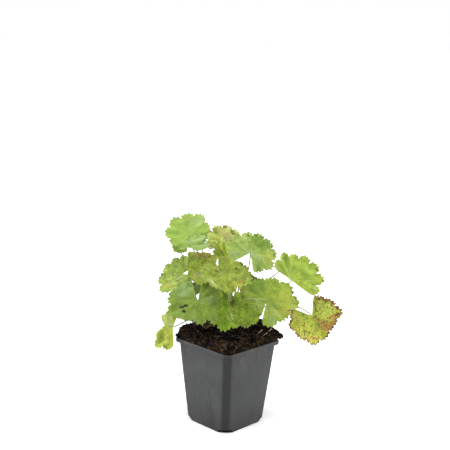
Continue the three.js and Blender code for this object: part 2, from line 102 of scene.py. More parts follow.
# The relief of the compost's surface: size and height of its lumps, and how far all of it sinks.
LUMPS = [(7.5, 2.2), (3.4, 1.3), (1.5, 0.6)]
LUMPS_DOWN = 1.1
CRUMBS = 2300
CRUMB_HALF = 43.6
CRUMB_SIZES = (0.8, 1.2, 1.8, 2.6)
CRUMB_SHARES = (0.42, 0.35, 0.17, 0.06)
ROOTS = 185
FRONT_ROOTS = 35
ROOT_HALF = 43
ROOT_RISE = 1.2

# Crown.
CROWN_X = 0
CROWN_Y = 4
CROWN_TOP = 119
CROWN_MIDDLE = 112.2
CROWN_RADIUS = 12.6
CROWN_HALF = 6.6
CROWN_BARE = 13
STALK_START = 110
STUB_FOOT = 1.5
STUB_END = 0.75
STUB_MIDDLE = 116.5
STUB_LEAN = 14
STUB_RIM = 0.25
STUB_HOLLOW = 0.8

# Leaves. A blade's mesh has so many columns to a lobe and rows from hub to edge.
BLADE_THICK = 0.36
NOTCH = 0.13
TOOTH = 0.074
SIDE_VEINS = 8
COLUMNS = 30
ROWS = 18
# How finely a blade is searched for the place that a spot of the photograph shows.
VIEW_COLUMNS = 600
VIEW_ROWS = 60
# The blade's plane is kept in a UV map, in this many millimetres to a unit.
PLANE_UNIT = 100
STALK_RADIUS = 0.85
STALK_TAPER = (1.45, 1.15, 0.8)
# Hairs: round the edge to each millimetre of radius, on a stalk, and on a short one.
EDGE_HAIRS = 7
STALK_HAIRS = 170
SHORT_STALK_HAIRS = 60


# Tools.


def start():
    """Deselects everything, so that an operator acts on new work alone."""
    if bpy.context.object and bpy.context.object.mode != "OBJECT":
        bpy.ops.object.mode_set(mode="OBJECT")
    bpy.ops.object.select_all(action="DESELECT")


def pick(*pieces):
    """Selects these objects, the first of them active."""
    start()
    for piece in pieces:
        piece.select_set(True)
    bpy.context.view_layer.objects.active = pieces[0]
    return pieces[0]


def modify(piece, kind, **settings):
    """Adds a modifier to a piece and applies it."""
    pick(piece)
    bpy.ops.object.modifier_add(type=kind)
    modifier = piece.modifiers[-1]
    for key, value in settings.items():
        setattr(modifier, key, value)
    bpy.ops.object.modifier_apply(modifier=modifier.name)


def edit(piece, *steps):
    """Runs edit-mode steps on all of a piece, each an operator with its settings."""
    pick(piece)
    bpy.ops.object.mode_set(mode="EDIT")
    bpy.ops.mesh.select_all(action="SELECT")
    for operator, settings in steps:
        operator(**settings)
    bpy.ops.object.mode_set(mode="OBJECT")


def settle(piece):
    """Puts a piece's place into its mesh and its object at the origin."""
    pick(piece)
    bpy.ops.object.transform_apply(location=True, rotation=True, scale=True)


def join(name, *pieces):
    piece = pick(*pieces)
    bpy.ops.object.join()
    piece.name = name
    piece.data.name = name
    return piece


def corners(piece):
    """All vertex places of a piece, one row each."""
    places = np.empty(len(piece.data.vertices) * 3)
    piece.data.vertices.foreach_get("co", places)
    return places.reshape(-1, 3)


def move_corners(piece, places):
    piece.data.vertices.foreach_set("co", np.asarray(places, float).ravel())
    piece.data.update()


def smooth(piece, angle):
    pick(piece)
    bpy.ops.object.shade_smooth_by_angle(angle=math.radians(angle))


def dress(piece, skin):
    piece.data.materials.clear()
    piece.data.materials.append(skin.material)


def keep(piece, slot, *nodes):
    """Hands a finished piece to the frame."""
    settle(piece)
    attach(piece, "root")
    if nodes:
        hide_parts(*nodes)


def standing(turn, place):
    """A matrix from a turn of three columns, which may be scaled, and a place in metres."""
    matrix = np.eye(4)
    matrix[:3, :3] = turn
    matrix[:3, 3] = place
    return matrix


def scatter(name, model, places):
    """One mesh of many copies of a small model, each moved by its own matrix."""
    flat = corners(model)
    flat = np.hstack([flat, np.ones((len(flat), 1))])
    faces = [tuple(face.vertices) for face in model.data.polygons]
    points = np.concatenate([flat @ place.T[:, :3] for place in places])
    copies = [tuple(v + k * len(flat) for v in face) for k in range(len(places)) for face in faces]
    mesh = bpy.data.meshes.new(name)
    mesh.from_pydata(points.tolist(), [], copies)
    piece = bpy.data.objects.new(name, mesh)
    bpy.context.scene.collection.objects.link(piece)
    bpy.data.objects.remove(model)
    smooth(piece, 60)
    return piece


def thicken(curve, radius, steps):
    """Gives a curve its round section and makes it a mesh."""
    curve.matrix_world = Matrix.Identity(4)
    curve.data.dimensions = "3D"
    curve.data.resolution_u = steps
    curve.data.bevel_depth = radius * MM
    curve.data.bevel_resolution = 3
    curve.data.use_fill_caps = True
    bpy.ops.object.convert(target="MESH")
    return bpy.context.object


def chance(seed):
    return np.random.default_rng(seed)


def pointing(azimuth, height):
    """The direction of an azimuth and a height in degrees."""
    a, h = math.radians(azimuth), math.radians(height)
    return Vector((math.cos(h) * math.cos(a), math.cos(h) * math.sin(a), math.sin(h)))


# Materials.


def paint(red, green, blue):
    """A colour as it looks under the studio's light, from screen values, where 255 is full."""
    def linear(v):
        v = v / 255
        return (v / 12.92 if v <= 0.04045 else ((v + 0.055) / 1.055) ** 2.4) / STUDIO_LIGHT
    return (linear(red), linear(green), linear(blue), 1)


class Wire:
    """A socket that carries a number, for use in sums."""

    def __init__(self, skin, socket):
        self.skin = skin
        self.socket = socket

    def math(self, operation, *values):
        return self.skin.node("Math", {"operation": operation}, dict(enumerate(values)))

    def __add__(self, other):
        return self.math("ADD", self, other)

    __radd__ = __add__

    def __sub__(self, other):
        return self.math("SUBTRACT", self, other)

    def __rsub__(self, other):
        return self.math("SUBTRACT", other, self)

    def __mul__(self, other):
        return self.math("MULTIPLY", self, other)

    __rmul__ = __mul__

    def __truediv__(self, other):
        return self.math("DIVIDE", self, other)

    def __rtruediv__(self, other):
        return self.math("DIVIDE", other, self)

    def __abs__(self):
        return self.math("ABSOLUTE", self)

    def part(self):
        """What stands after the point."""
        return self.math("FRACT", self)

    def least(self, other):
        return self.math("MINIMUM", self, other)

    def most(self, other):
        return self.math("MAXIMUM", self, other)

    def between(self, low, high):
        """0 at low, 1 at high, smooth in between. Low may be the larger one."""
        sockets = {"Value": self, "From Min": low, "From Max": high}
        return self.skin.node("MapRange", {"interpolation_type": "SMOOTHSTEP"}, sockets)


class Skin:
    """A material built node by node, its colour laid on in coats over a ground colour."""

    def __init__(self, name, ground, **values):
        self.material = bpy.data.materials.new(name)
        self.material.use_nodes = True
        self.tree = self.material.node_tree
        self.shader = self.tree.nodes["Principled BSDF"]
        self.tone = ground
        self.put(self.shader.inputs["Base Color"], ground)
        for key, value in values.items():
            self.shader.inputs[key.replace("_", " ")].default_value = value

    def node(self, kind, settings=None, sockets=None, out=0):
        """A node's output, from its type, its settings and its sockets' values or wires."""
        made = self.tree.nodes.new("ShaderNode" + kind)
        for key, value in (settings or {}).items():
            setattr(made, key, value)
        for key, value in (sockets or {}).items():
            self.put(made.inputs[key], value)
        return Wire(self, made.outputs[out])

    def put(self, socket, value):
        if isinstance(value, Wire):
            self.tree.links.new(value.socket, socket)
        else:
            socket.default_value = value

    def place(self):
        return self.node("TexCoord", out="Object")

    def split(self, vector):
        """A vector's three numbers."""
        parts = self.node("SeparateXYZ", None, {0: vector}).socket.node
        return [Wire(self, socket) for socket in parts.outputs]

    def stretched(self, scale, turn=(0, 0, 0)):
        """Object coordinates turned and scaled, each by three numbers."""
        return self.node("Mapping", None, {"Vector": self.place(), "Scale": scale, "Rotation": turn})

    def noise(self, scale, detail=3, rough=0.55, where=None):
        sockets = {"Vector": where or self.place(), "Scale": scale, "Detail": detail, "Roughness": rough}
        return self.node("TexNoise", None, sockets)

    def cells(self, scale, feature="F1"):
        return self.node("TexVoronoi", {"feature": feature}, {"Vector": self.place(), "Scale": scale})

    def mix(self, base, over, share):
        """A colour over another one, where share says how much of it."""
        settings = {"data_type": "RGBA", "blend_type": "MIX"}
        return self.node("Mix", settings, {0: share, 6: base, 7: over}, out=2)

    def coat(self, colour, share):
        """Lays a colour, screen values or a wire, over the coats so far."""
        over = colour if isinstance(colour, Wire) else paint(*colour)
        self.tone = self.mix(self.tone, over, share)
        self.put(self.shader.inputs["Base Color"], self.tone)

    def rough(self, value):
        self.put(self.shader.inputs["Roughness"], value)

    def bump(self, height, strength, distance):
        sockets = {"Height": height, "Strength": strength, "Distance": distance}
        self.put(self.shader.inputs["Normal"], self.node("Bump", None, sockets))


# Camera and light.


def camera_axes():
    """The camera's directions: forward, right and up."""
    forward = Vector(CAMERA_FORWARD).normalized()
    right = Vector(CAMERA_RIGHT).normalized()
    return forward, right, right.cross(forward)


def place_camera():
    forward, right, up = camera_axes()
    turn = Matrix((right, up, -forward)).transposed().to_4x4()
    bpy.ops.object.camera_add()
    camera = bpy.context.object
    camera.matrix_world = Matrix.Translation(CAMERA_PLACE) @ turn
    camera.data.lens = CAMERA_LENS
    camera.data.sensor_width = CAMERA_FILM
    camera.data.clip_start = 0.01
    bpy.context.scene.camera = camera


def soft_light(name, azimuth, height, spread, strength):
    """A broad even light that comes from far away."""
    way = pointing(azimuth, height)
    bpy.ops.object.light_add(type="SUN", location=way)
    lamp = bpy.context.object
    lamp.name = name
    lamp.rotation_euler = (-way).to_track_quat("-Z", "Y").to_euler()
    lamp.data.energy = strength
    lamp.data.angle = math.radians(spread)


def light_studio():
    world = bpy.context.scene.world or bpy.data.worlds.new("studio")
    bpy.context.scene.world = world
    world.use_nodes = True
    sky = world.node_tree.nodes["Background"]
    sky.inputs["Color"].default_value = (1, 1, 1, 1)
    sky.inputs["Strength"].default_value = 1.0
    for name, values in LIGHTS.items():
        soft_light(name, *values)
    bpy.context.scene.view_settings.view_transform = "Standard"


def lay_floor():
    start()
    bpy.ops.mesh.primitive_plane_add(size=FLOOR_WIDTH, location=(0, 0, 0))
    floor = bpy.context.object
    floor.name = "floor"
    grey = (FLOOR_GREY, FLOOR_GREY, FLOOR_GREY, 1)
    dress(floor, Skin("studio_floor", grey, Roughness=0.9, Specular_IOR_Level=0.1))


# Pot.


def cut_square(width, cut, z):
    """A square with its corners cut off and each edge rounded, counter-clockwise."""
    h = width / 2
    k = h - cut
    flat = [Vector(at) for at in
            [(h, -k), (h, k), (k, h), (-k, h), (-h, k), (-h, -k), (-k, -h), (k, -h)]]
    points = []
    for n, edge in enumerate(flat):
        before = edge + (flat[n - 1] - edge).normalized() * SOFT_EDGE
        after = edge + (flat[(n + 1) % 8] - edge).normalized() * SOFT_EDGE
        points += [before, (before + 2 * edge + after) / 4, after]
    return [(x * MM, y * MM, z * MM) for x, y in points]


def pot_width(z):
    return BODY_BOTTOM + (BODY_TOP - BODY_BOTTOM) * z / (POT_HEIGHT - RIM_BAND)


def pot_outlines():
    """The pot's skin from under its floor, up outside, over the rim and down inside.

    Each ring has its width, its corners' cut and its height.
    """
    under = POT_HEIGHT - RIM_BAND
    inside = 2 * WALL
    return [
        (BODY_BOTTOM - 2.4, BODY_CUT, 0),
        (BODY_BOTTOM, BODY_CUT, 0.9),
        (pot_width(30), BODY_CUT, 30),
        (pot_width(62), BODY_CUT, 62),
        (BODY_TOP, BODY_CUT, under + 3),
        (RIM_WIDTH - 2.4, RIM_CUT, under + 3),
        (RIM_WIDTH - 1.6, RIM_CUT, under),
        (RIM_WIDTH - 0.2, RIM_CUT, under + 0.2),
        (RIM_WIDTH, RIM_CUT, POT_HEIGHT - 0.6),
        (RIM_WIDTH - 1.0, RIM_CUT, POT_HEIGHT),
        (BODY_TOP - inside + 0.6, BODY_CUT, POT_HEIGHT),
        (BODY_TOP - inside, BODY_CUT, POT_HEIGHT - 1),
        (pot_width(50) - inside, BODY_CUT, 50),
        (pot_width(POT_FLOOR) - inside, BODY_CUT, POT_FLOOR),
    ]


def make_pot():
    """A circle extruded once for each outline, then moved onto the outlines."""
    start()
    outlines = pot_outlines()
    bpy.ops.mesh.primitive_circle_add(vertices=POT_POINTS, radius=0.03, fill_type="NGON")
    pot = bpy.context.object
    lift = (bpy.ops.mesh.extrude_region_move, {"TRANSFORM_OT_translate": {"value": (0, 0, MM)}})
    edit(pot, *[lift] * (len(outlines) - 1))
    rings = [ring for row in outlines for ring in cut_square(*row)]
    move_corners(pot, ring_order(pot, rings))
    edit(pot, (bpy.ops.mesh.normals_make_consistent, {"inside": False}))
    for k in range(4):
        cut_drain(pot, k)
    modify(pot, "BEVEL", width=POT_ROUNDING * MM, segments=3, limit_method="ANGLE",
           angle_limit=math.radians(32))
    smooth(pot, 35)
    dress(pot, pot_skin())
    pot.name = "nursery_pot"
    keep(pot, "pot", "pot")


def ring_order(pot, rings):
    """Gives each vertex of the extruded circle its own point of the outlines."""
    flat = corners(pot)
    layers = np.round(flat[:, 2] / MM).astype(int)
    turn = np.arctan2(flat[:, 1], flat[:, 0]) / (2 * math.pi)
    step = np.round(turn * POT_POINTS).astype(int) % POT_POINTS
    return [rings[layer * POT_POINTS + k] for layer, k in zip(layers, step)]


def cut_drain(pot, k):
    """A wedge taken out of one bottom corner, wider at the ground."""
    start()
    bpy.ops.mesh.primitive_cube_add(size=1)
    wedge = bpy.context.object
    shape = corners(wedge)
    low = shape[:, 2] < 0
    x = np.sign(shape[:, 0]) * np.where(low, DRAIN_HALF_FOOT, DRAIN_HALF_TOP)
    y = shape[:, 1] * DRAIN_DEPTH
    z = np.where(low, -1, DRAIN_HEIGHT)
    move_corners(wedge, np.stack([x, y, z], 1) * MM)
    reach = (BODY_BOTTOM / 2 - DRAIN_INSET) * MM
    turn = Matrix.Rotation(k * math.pi / 2, 4, "Z")
    across = Matrix.Rotation(-math.pi / 4, 4, "Z")
    wedge.matrix_world = turn @ Matrix.Translation((reach, reach, 0)) @ across
    modify(pot, "BOOLEAN", operation="DIFFERENCE", object=wedge, solver="EXACT")
    bpy.data.objects.remove(wedge)


def pot_skin():
    """Matt black polypropylene, a little scuffed, with dust and smears of compost, and painted shade on
    its four cut corners.
    """
    skin = Skin("black_pot_plastic", paint(76, 77, 78), Specular_IOR_Level=0.15)
    x, y, height = skin.split(skin.place())
    drawn = skin.noise(55, 4, 0.6, skin.stretched((1, 1, 0.12)))
    cloud = skin.noise(28, 4, 0.6)
    grain = skin.noise(2600, 2, 0.6)
    dust = (cloud * 0.6 + drawn * 0.5).between(0.5, 0.75)
    skin.coat((106, 107, 108), dust * 0.5)
    streak = skin.noise(150, 3, 0.6, skin.stretched((1, 1, 0.2)))
    skin.coat((42, 42, 44), streak.between(0.55, 0.7) * 0.35)
    # Darker towards the foot, in clouds.
    low = height.between(0.045, 0.0)
    skin.coat((48, 48, 40), low * cloud.between(0.3, 0.6) * 0.6)
    high = height.between(0.072, 0.096)
    crumbs = skin.cells(420).between(0.3, 0.12) * skin.noise(70).between(0.5, 0.62) * high
    skin.coat((64, 50, 38), crumbs * 0.9)
    smear = skin.noise(120, 5, 0.65, skin.stretched((1, 1, 0.4))).between(0.56, 0.68) * high
    skin.coat((122, 112, 96), smear * 0.5)
    x, y = abs(x), abs(y)
    # Painted shade: the four cut corners, where x and y are nearly equal, are darkened.
    corner = (x.least(y) / x.most(y)).between(0.79, 0.87)
    skin.coat((44, 44, 46), corner * 0.64)
    skin.rough(0.42 + dust * 0.18 + grain * 0.06)
    lines = skin.noise(240, 2, 0.5, skin.stretched((1, 1, 0.03)))
    skin.bump(grain * 0.6 + lines * 0.8 + drawn * 0.5, 0.25, 0.0003)
    return skin


# Compost.


def outline_at(c, s, half, cut):
    """How far a square with cut corners reaches from the middle in one direction."""
    across = half / np.maximum(np.abs(c), np.abs(s))
    return np.minimum(across, (2 * half - cut) / (np.abs(c) + np.abs(s)))


def heap(x, y, cx, cy, height, spread):
    return height * np.exp(-((x - cx) ** 2 + (y - cy) ** 2) / spread ** 2)


def soil_height(x, y, share):
    """The compost's level: a dome, a small heap in each of two corners, and low waves."""
    z = SOIL_EDGE + SOIL_HEAP * np.sqrt(np.maximum(0, 1 - share ** 4))
    for row in HEAPS:
        z = z + heap(x, y, *row)
    z = z + 0.7 * np.sin(0.31 * x + 1.1) * np.sin(0.27 * y + 0.4)
    z = z + 0.5 * np.sin(0.63 * x - 0.5 * y + 2)
    return np.maximum(z, SOIL_EDGE)


def soil_place(x, y):
    """A point of the compost's smooth surface over one place, in millimetres."""
    r = np.hypot(x, y)
    share = r / outline_at(x / (r + 1e-9), y / (r + 1e-9), SPILL_HALF, SPILL_CORNER)
    return np.array([x, y, soil_height(x, y, min(float(share), 1.0))])


def crumble(place, size):
    """How far the crumbs stand out at a place, in shares of their size."""
    near = noise.voronoi(Vector(place) / size)[0]
    return near[1] - near[0]


def make_soil():
    """A grid rolled up: over the pot's floor, up its inside, over the rim and the heap."""
    start()
    bpy.ops.mesh.primitive_grid_add(x_subdivisions=SOIL_COLUMNS, y_subdivisions=SOIL_ROWS, size=1)
    soil = bpy.context.object
    flat = corners(soil)
    turn = (flat[:, 0] + 0.5) * 2 * math.pi
    row = np.round((flat[:, 1] + 0.5) * SOIL_ROWS).astype(int)
    c, s = np.cos(turn), np.sin(turn)
    share = np.clip(1 - (row - HEAP_ROW) / (SOIL_ROWS - HEAP_ROW), 0, 1) ** 0.8
    ragged = 1 - 0.014 * (0.5 + 0.5 * np.sin(31 * turn + 3 * np.sin(5 * turn))) * share ** 8
    r = share * ragged * outline_at(c, s, SPILL_HALF, SPILL_CORNER)
    floor_share = (pot_width(SOIL_BOTTOM) / 2 - WALL - SOIL_CLEARANCE) / SOIL_HALF
    inner = outline_at(c, s, SOIL_HALF, SOIL_CORNER)
    for k, wide in enumerate((0, floor_share, 1, 1)):
        r = np.where(row == k, wide * inner, r)
    x, y = r * c, r * s
    z = soil_height(x, y, share)
    for k, level in enumerate((SOIL_BOTTOM, SOIL_BOTTOM, POT_HEIGHT - RIM_BAND, SOIL_LIP, SOIL_LIP)):
        z = np.where(row == k, level, z)
    places = np.stack([x, y, z], 1)
    for k in np.nonzero(row > HEAP_ROW)[0]:
        places[k] += crumb_push(places[k], c[k], s[k], share[k])
    move_corners(soil, places * MM)
    edit(soil, (bpy.ops.mesh.remove_doubles, {"threshold": 1e-5}),
         (bpy.ops.mesh.normals_make_consistent, {"inside": False}))
    smooth(soil, 60)
    dress(soil, soil_skin())
    return soil


def crumb_push(place, c, s, share):
    """The crumbs' relief: outwards near the edge and upwards in the middle."""
    push = sum(crumble(place, size) * tall for size, tall in LUMPS) - LUMPS_DOWN
    lean = share ** 6 * 0.4
    return np.array([c * lean, s * lean, 1.0]) * push * min(1.0, 0.35 + (1 - share) * 6)


def crumb_model():
    """One lump of compost: a cube rounded and knocked out of shape."""
    start()
    bpy.ops.mesh.primitive_cube_add(size=1)
    crumb = bpy.context.object
    edit(crumb, (bpy.ops.mesh.subdivide, {"number_cuts": 1}),
         (bpy.ops.transform.tosphere, {"value": 0.8}))
    places = corners(crumb)
    dents = chance(5).uniform(-0.12, 0.12, places.shape)
    move_corners(crumb, places * 0.8 + dents)
    return crumb


def turned(place, size, rng):
    """A matrix that puts a copy at a place in millimetres, with its own turn and size."""
    turn = np.array(Quaternion(rng.normal(size=4)).normalized().to_matrix())
    return standing(turn * size * MM, np.array(place) * MM)


def crumb_places(rng):
    """Small crumbs all over the compost but for the crown, and the larger lumps."""
    places = []
    for _ in range(CRUMBS):
        turn = rng.uniform(0, 2 * math.pi)
        share = rng.uniform(0, 1) ** 0.36
        r = share * outline_at(math.cos(turn), math.sin(turn), CRUMB_HALF, SPILL_CORNER)
        x, y = r * math.cos(turn), r * math.sin(turn)
        if math.hypot(x - CROWN_X, y - CROWN_Y) < CROWN_BARE:
            continue
        size = rng.choice(CRUMB_SIZES, p=CRUMB_SHARES) * rng.uniform(0.8, 1.3)
        place = soil_place(x, y) + [0, 0, size * 0.15 + 0.5]
        places.append(turned(place, size * rng.uniform(0.7, 1.2, 3), rng))
    for x, y, z, size in SPILLED:
        places.append(turned((x, y, z), size * rng.uniform(0.8, 1.1, 3), rng))
    return places


# Larger lumps over the corners of the rim: place and size.
SPILLED = [
    (34.5, 34.5, 111, 11.5), (39.5, 39.5, 107.2, 10), (43.4, 43.2, 105.2, 7), (25.5, 27, 121.5, 9),
    (41, 43, 105.5, 5), (45.4, 42, 103.8, 3.6), (38, 42, 108, 5), (42.4, 36.5, 106, 5),
    (30, 38, 111, 5), (36, 30, 112, 5.6), (28, 31, 118, 6), (20, 30, 118.5, 5), (31, 32, 116, 6),
    (41, 37, 108.6, 5), (37, 37, 110.5, 6), (44.5, 45, 106, 3.6), (43.5, 38.5, 104.6, 4),
    (-40, -38, 105, 5), (-38.5, -41, 104, 4.5), (-41.5, -35, 104, 4), (-35.5, -39, 106, 4.6),
    (-42, -42, 102.6, 4), (-43, -38, 102.6, 3.4), (-38, -43, 102.4, 3.4),
]


def root_model():
    """A short length of dead root, bent, with three sides."""
    start()
    bpy.ops.mesh.primitive_cylinder_add(vertices=3, radius=0.5, depth=1, end_fill_type="TRIFAN")
    root = bpy.context.object
    edit(root, (bpy.ops.transform.resize, {"value": (0.1, 0.1, 1)}))
    modify(root, "SUBSURF", subdivision_type="SIMPLE", levels=2, render_levels=2)
    places = corners(root)
    places[:, 0] += 0.14 * np.sin(places[:, 2] * 4.2)
    places[:, 1] += 0.06 * np.sin(places[:, 2] * 7 + 1)
    move_corners(root, places)
    return root


def root_places(rng):
    """Short roots all over the compost, with more over the rim at the front corner."""
    places = []
    for k in range(ROOTS):
        front = k >= ROOTS - FRONT_ROOTS
        turn = rng.normal(-math.pi / 4, 0.3) if front else rng.uniform(0, 2 * math.pi)
        share = rng.uniform(0.9, 1.0) if front else rng.uniform(0.35, 1.0) ** 0.6
        r = share * outline_at(math.cos(turn), math.sin(turn), ROOT_HALF, SPILL_CORNER)
        length = rng.uniform(2.5, 8)
        slope = rng.uniform(-0.35, 0.35)
        way = rng.uniform(0, 2 * math.pi)
        along = Vector((math.cos(way), math.sin(way), slope)).normalized()
        lying = np.array(along.to_track_quat("Z", "Y").to_matrix())
        place = soil_place(r * math.cos(turn), r * math.sin(turn)) + [0, 0, ROOT_RISE]
        places.append(standing(lying * length * MM, place * MM))
    return places


def soil_skin():
    skin = Skin("peat_compost", paint(7, 5, 3), Roughness=0.95, Specular_IOR_Level=0.08)
    patch = skin.noise(90, 5, 0.65)
    fine = skin.noise(900, 4, 0.7)
    fibre = skin.noise(500, 3, 0.6, skin.stretched((1, 0.25, 1), (0, 0, 0.6)))
    skin.coat((66, 48, 24), patch.between(0.45, 0.7))
    lump = skin.noise(240, 2).between(0.55, 0.66) * patch.between(0.42, 0.56)
    skin.coat((132, 98, 62), lump * 0.75)
    skin.coat((132, 92, 64), fibre.between(0.6, 0.7) * 0.75)
    skin.coat((4, 4, 3), fine.between(0.52, 0.4) * 0.9)
    skin.bump(fine + fibre * 0.5, 0.7, 0.0008)
    return skin


def root_skin():
    skin = Skin("dead_root", paint(48, 32, 25), Roughness=0.8, Specular_IOR_Level=0.3)
    skin.coat((112, 80, 58), skin.noise(120).between(0.4, 0.7))
    return skin


def make_compost():
    soil = make_soil()
    crumbs = scatter("crumbs", crumb_model(), crumb_places(chance(11)))
    dress(crumbs, soil_skin())
    heap_piece = join("compost", soil, crumbs)
    keep(heap_piece, "soil", "soil")
    roots = scatter("root_fibres", root_model(), root_places(chance(23)))
    dress(roots, root_skin())
    keep(roots, "crown")


# Crown.


def crown_skin():
    skin = Skin("woody_crown", paint(46, 28, 20), Roughness=0.85, Specular_IOR_Level=0.3)
    fibre = skin.noise(300, 4, 0.6, skin.stretched((1, 1, 0.15)))
    skin.coat((104, 66, 44), fibre.between(0.4, 0.65))
    skin.coat((122, 112, 66), skin.noise(140).between(0.58, 0.7) * 0.5)
    skin.bump(fibre, 0.7, 0.0012)
    return skin


def make_crown():
    """A knotted dome of old wood with the stubs of cut leaves round it."""
    start()
    bpy.ops.mesh.primitive_uv_sphere_add(segments=64, ring_count=40, radius=1)
    dome = bpy.context.object
    places = corners(dome)
    for k, (x, y, z) in enumerate(places):
        lump = noise.noise(Vector((x, y, z)) * 2.6) * 0.16 + crumble((x, y, z), 0.42) * 0.13
        wide = CROWN_RADIUS * (1 + lump * 0.6)
        tall = CROWN_HALF + 7.2 * lump if z > 0 else CROWN_HALF
        places[k] = (CROWN_X + x * wide, CROWN_Y + y * wide, CROWN_MIDDLE + z * tall)
    move_corners(dome, places * MM)
    smooth(dome, 50)
    stubs = [leaf_stub(*row) for row in STUBS]
    crown = join("crown_wood", dome, *stubs)
    dress(crown, crown_skin())
    keep(crown, "crown", "crown")


# Old leaf bases round the crown: angle, distance, height and width.
STUBS = [
    (-64, 11.6, 7, 1.3), (-4, 11.6, 7.5, 1.3), (42, 11.6, 7, 1.2), (92, 11.4, 8.5, 1.4),
    (152, 11.6, 7.5, 1.3), (-110, 9.0, 6.5, 1.1), (-30, 8.6, 6, 1.2), (18, 9.4, 6, 1.1),
    (120, 8.8, 7, 1.2), (-165, 9.2, 6.4, 1.1),
]


def leaf_stub(angle, out, tall, wide):
    """A cut leaf base, wide and flat at its foot and hollow at its end."""
    start()
    bpy.ops.mesh.primitive_cone_add(
        vertices=10, radius1=STUB_FOOT * wide * MM, radius2=STUB_END * wide * MM, depth=tall * MM,
        location=(out * MM, 0, STUB_MIDDLE * MM), rotation=(0, math.radians(STUB_LEAN), 0))
    stub = bpy.context.object
    bpy.ops.object.mode_set(mode="EDIT")
    bpy.ops.mesh.select_all(action="DESELECT")
    bpy.ops.object.mode_set(mode="OBJECT")
    top = max(stub.data.polygons, key=lambda face: face.center.z)
    top.select = True
    bpy.ops.object.mode_set(mode="EDIT")
    bpy.ops.mesh.inset(thickness=STUB_RIM * MM)
    bpy.ops.transform.translate(value=(0, 0, -STUB_HOLLOW * MM))
    bpy.ops.object.mode_set(mode="OBJECT")
    settle(stub)
    spin = Matrix.Rotation(math.radians(angle), 4, "Z")
    stub.data.transform(Matrix.Translation((CROWN_X * MM, CROWN_Y * MM, 0)) @ spin)
    smooth(stub, 50)
    return stub


# Leaves.

# Colours of the blades: shade, body and light.
TONES = {
    "top_lime": [(140, 168, 65), (175, 206, 91), (204, 228, 123)],
    "small_lime": [(132, 160, 54), (162, 193, 71), (194, 224, 110)],
    "bluish": [(114, 139, 52), (150, 180, 82), (180, 205, 111)],
    "dry_top": [(158, 176, 62), (222, 240, 118), (250, 250, 190)],
    # Painted light: brightened for a folded leaf that sits in the shade of the ones over it.
    "olive": [(143, 168, 39), (197, 219, 67), (242, 242, 113)],
    "middle": [(126, 149, 54), (172, 198, 90), (208, 230, 126)],
    # Painted light: a brightened copy of the middle tone, for a leaf that sits in shade.
    "middle_low_painted_light": [(151, 174, 58), (196, 224, 88), (234, 242, 120)],
    "long_lime": [(146, 168, 56), (185, 210, 73), (219, 236, 109)],
    "centre": [(106, 134, 33), (156, 179, 52), (193, 209, 74)],
    "spotted": [(164, 172, 52), (220, 230, 80), (252, 250, 124)],
    "low": [(95, 121, 30), (130, 157, 41), (166, 189, 63)],
    "mottled": [(112, 132, 33), (152, 173, 55), (184, 202, 81)],
    # Painted light: a brightened copy of the mottled tone, for a leaf that sits in shade.
    "mottled_low_painted_light": [(132, 156, 38), (179, 204, 65), (217, 239, 93)],
    # Painted light: brightened far past the leaf's own colour, for a steep leaf in the shade of those
    # above.
    "hanging_painted_light": [(162, 214, 48), (212, 256, 70), (234, 262, 98)],
    "left": [(124, 146, 52), (176, 200, 86), (213, 236, 116)],
    # Painted light: a brightened copy of the left tone, for a leaf that sits in shade.
    "left_low_painted_light": [(140, 162, 52), (199, 222, 86), (241, 242, 116)],
    "deep_lime": [(76, 98, 4), (113, 139, 8), (152, 176, 20)],
    "rim_lime": [(158, 174, 52), (200, 218, 72), (242, 242, 123)],
    "ground": [(122, 140, 48), (173, 197, 76), (214, 232, 119)],
    "back": [(99, 123, 42), (140, 165, 65), (173, 193, 87)],
    "brown": [(60, 36, 24), (92, 56, 36), (120, 80, 54)],
}

# What a leaf has where the table below gives nothing else.
PLAIN = dict(
    slot="leaf_green", lobes=9, teeth=4, sinus=36, basal=0.16, cup=0.1, wave=0.05, fold=0, droop=0,
    notch=NOTCH, pleat=0.024, lift=0.5, under=0.6, reach=None, arrive=None, foot=None, bloom=0.2,
    specks=0.05, dry=0.0, yellowing=0.1, tips=0.3, crumple=0.4, mottle=0.7,
)

# What small leaves, those at the back and the withered ones have in common.
SMALL = dict(lobes=7, teeth=3)
BACK = dict(teeth=3, tone="back")
WITHERED = dict(slot="withered", lobes=5, teeth=2, sinus=70, cup=0.3, wave=0.2, pleat=0.1, tone="brown")

